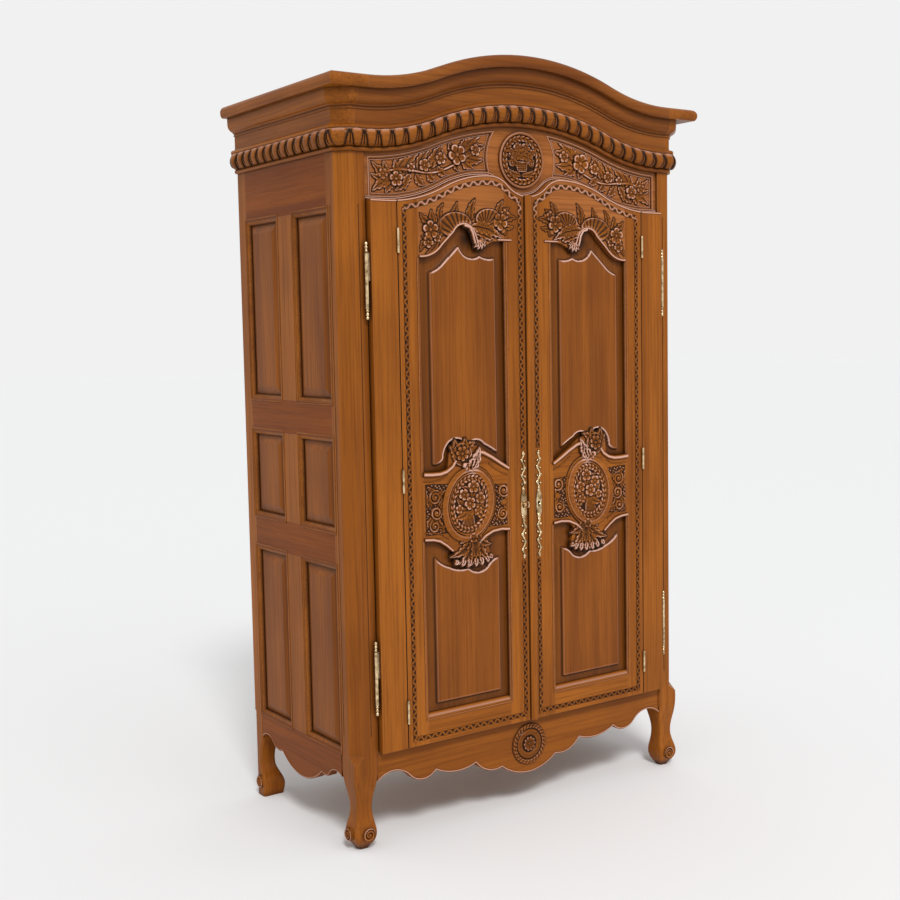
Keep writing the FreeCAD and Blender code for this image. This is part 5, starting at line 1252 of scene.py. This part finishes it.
x = np.linspace(-FIELD_END, -100.0, 300)
foot_run = stacked(x, field_foot(x))
head_run = stacked(x, field_head(x))
foot_run, head_run = (run[np.hypot(run[:, 0], run[:, 1] - MEDALLION_Z) > ISLAND]
                      for run in (foot_run, head_run))
turn = [math.atan2(run[-1, 1] - MEDALLION_Z, run[-1, 0]) % (2 * math.pi) for run in (foot_run, head_run)]
turn = np.linspace(turn[0], turn[1], 40)[1:-1]
island_run = stacked(ISLAND * np.cos(turn), MEDALLION_Z + ISLAND * np.sin(turn))
frame_line = np.concatenate([foot_run, island_run, head_run[::-1]])
frames = []
for lift, wide, high in ((4.2, 3.0, 1.6), (-3.6, 4.0, 1.5)):
    aside, proud = half_round(wide, high)
    deep = 0.0 if lift < 0 else -4.0
    frames.append(carried(frame_line, aside + lift, proud + deep, apron_face, closed=True))
frieze = joined([frieze_spray] + frames)
add_pair("frieze_spray", "case", frieze)
double_bead = joined([rod(top_run(-519.0, 519.0, -lift, 3.0), wide, high, 1.0, face=apron_face)
                      for lift, wide, high in ((3.5, 5.4, 3.4), (8.2, 3.6, 2.2))])
add_piece("frieze_double_bead", "case", "wood_carved", double_bead)
print("frieze field", len(frieze[1]), "faces")

# %% [markdown]
# ## Medallion, rosette and volutes
# Round carvings use a polar grid, so their rims stay true circles. The medallion is a basket of flowers in a
# wreath; the rosette has a fluted rim, a plain ring and a small flower; the feet carry small volutes.

# %% Round carvings
def medallion(u, v):
    """A beaded rim, a wreath, and a basket of flowers with a ribbon below."""
    cu, cv = 0.0, MEDALLION_Z
    r, angle = np.hypot(u - cu, v - cv), np.arctan2(v - cv, u - cu)
    rim = np.where(r > 70, 7.6 * dome((r - 75) / 5.0), NOWHERE)
    wreath = 0.6 + np.where(np.abs(r - 61) < 9, laurel(r - 61, angle * 26 / (2 * np.pi), 17, 6.4), NOWHERE)
    basket = (np.abs(u - cu) < 15 + (v - cv + 32) * 0.28) & (v - cv > -32) & (v - cv < -4)
    weave = 2.6 + 2.4 * np.abs(np.sin((u - cu) * 0.5) * np.cos((v - cv) * 0.6)) + 1.2 * (v - cv > -9)
    forms = [rim, wreath, np.where(basket, weave + 1.6, NOWHERE), np.full_like(u, 0.4)]
    forms += leaves(u, v, [(cu, cv, cu + 52 * math.cos(k), cv + 4 + 48 * math.sin(k), 24, 4.0, 0.1, 4, 0.8)
                           for k in (-0.15, 0.3, 0.75, 1.2, 1.6, 2.0, 2.4, 2.85, 3.3)])
    forms += flowers(u, v, [(cu + x, cv + z, wide, 5.0, spin, 2.4) for x, z, wide, spin in (
        (0, 14, 17, 0.3), (-24, 9, 15, 0.9), (24, 9, 15, 0.1), (-14, 35, 15, 0.5), (15, 35, 15, 1.1),
        (-38, 22, 11, 0.4), (38, 22, 11, 0.8))])
    for sign in (-1, 1):
        forms += leaves(u, v, [(cu + sign * 4, cv - 38, cu + sign * 44, cv - 24, 19, 4.4, -0.2 * sign, 4, 0.8),
                               (cu + sign * 2, cv - 42, cu + sign * 30, cv - 46, 15, 4.0, 0.1 * sign, 3, 0.8)])
        forms.append(coil(u, v, (cu + sign * 34, cv - 8), 11, 1.6, 4.4, sign, 0.0, 0.8))
    return np.maximum.reduce(forms)


def rosette(u, v):
    """A fluted rim, a broad plain ring with rounded edges, and a small flower in a dark hollow."""
    cv = ROSETTE_Z
    r, angle = np.hypot(u, v - cv), np.arctan2(v - cv, u)
    flutes = 2.6 + 3.4 * np.abs(np.sin(14 * angle + 0.12 * (r - 52))) ** 0.8
    rim = np.where((r > 47) & (r < 60), flutes * swell((60 - r) / 3) * swell((r - 47) / 3), NOWHERE)
    ring = np.where(np.abs(r - 35) < 10.5, 5.4 * unit(1 - ((r - 35) / 10.5) ** 4), NOWHERE)
    petals = flower(u, v, (0, cv), 22, 5.0, 10, 0.0, 1.2)
    edge = np.where(r > 59, 2.6 * swell((62.5 - r) / 2), NOWHERE)
    return np.maximum.reduce([rim, ring, petals, edge, np.full_like(u, 1.2)])


round_medallion = disc_relief((0.0, MEDALLION_Z), 80.0, medallion, apron_face, 1.15, ground=0.35)
round_rosette = disc_relief((0.0, ROSETTE_Z), 62.0, rosette, apron_face, 1.1, ground=1.1)
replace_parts(add_piece("basket_medallion", "case", "wood_carved", round_medallion, 60), "frieze_medallion")
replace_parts(add_piece("fluted_rosette", "case", "wood_carved", round_rosette, 60), "apron_rosette")


def volute(centre, way, face):
    """A small scroll on a foot."""
    def form(u, v):
        """The scroll's height over its disc."""
        return 0.4 + np.maximum(coil(u, v, centre, 18.6, 2.2, 4.2, way, 1.2), 0)
    return disc_relief(centre, 18.6, form, face, 0.9)


foot_side = left_face(-HALF - 4.0)
volutes = joined([volute((-560.0, 45.0), 1, front_face(FRONT - 4.0)), volute((-234.5, 45.0), -1, foot_side),
                  volute((295.5, 45.0), -1, foot_side)])
add_pair("volutes", "case", volutes)
rounds = (round_medallion, round_rosette, volutes)
print("faces of medallion, rosette and volutes", [len(form[1]) for form in rounds])

# %% [markdown]
# ## Pierced key plates
# The long brass plates are openwork, sawn out and filed: a flat box round the keyhole, two round beads, then
# a wavy stem with small buds that ends in a bead. The CAD has plain plates of the same length and width. Here
# the height is left out wherever the wood shows through, so each plate is a closed, truly pierced solid in
# their place. The right door has no lock and its keyhole does not go through: a thin disc in it carries painted
# shadow.

# %% Pierced brass plates
PLATE_X, PLATE_Z, HOLE_Z = -28.0, 899.0, 902.0
u, v = field(PLATE_X - 12, PLATE_X + 12, 743.4, 1054.6, 0.55)
aside, reach = u - PLATE_X, np.abs(v - PLATE_Z)
box = (np.abs(aside) < 10.2 - 0.002 * reach**2) & (reach < 31)
box = np.where(box, 0.1 + 0.9 * (np.abs(aside) > 7.6), NOWHERE)
stem_middle = 4.6 * np.sin((reach - 52.0) * 2 * np.pi / 44.0)
stem_width = 3.1 - 0.008 * (reach - 52.0)
across = np.abs(aside - stem_middle) / stem_width
stem_height = np.where((across < 1) & (reach > 49) & (reach < 150), 0.3 + 1.6 * dome(across), NOWHERE)
beads = [ball(aside, reach, (x, y), radius, 2.6, 0.2) for x, y, radius in (
    (0, 35, 6.2), (0, 45, 5.2), (5.2, 63, 5.4), (-5.2, 85, 5.0), (5.2, 107, 4.8), (-5.2, 129, 4.4),
    (-5.4, 60, 3.4), (5.4, 82, 3.2), (-5.2, 104, 3.0), (5.0, 126, 2.8), (0, 74, 3.4), (0, 96, 3.2),
    (0, 118, 3.0), (0, 147, 4.0), (0, 152, 3.4))]
plate = np.maximum.reduce([box, stem_height] + beads)
hole = (np.hypot(aside, v - HOLE_Z) < 4.6) | ((np.abs(aside) < 2.6) & (v < HOLE_Z) & (v > HOLE_Z - 12.2))
plate = relief(u, v, np.where(hole, NOWHERE, plate), front_face(DOOR_FRONT - 2.0), back=-1.9, shade_rim_cells=0)
for side, shape in (("left", plate), ("right", mirrored(plate))):
    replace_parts(add_piece(f"{side}_pierced_plate", f"{side}_main_leaf", "aged_brass", shape), f"{side}_escutcheon")
# painted shadow: a thin disc of the darkest tone inside the right plate's keyhole
keyhole_shade_disc = relief(u, v, np.where(hole, 0.2, NOWHERE), door_face, back=-1.0, shade_rim_cells=0, crest=np.zeros_like(u))
add_piece("right_blind_keyhole", "right_main_leaf", "wood_carved", mirrored(keyhole_shade_disc))
print("pierced plate", len(plate[1]), "blind keyhole", len(keyhole_shade_disc[1]), "faces")
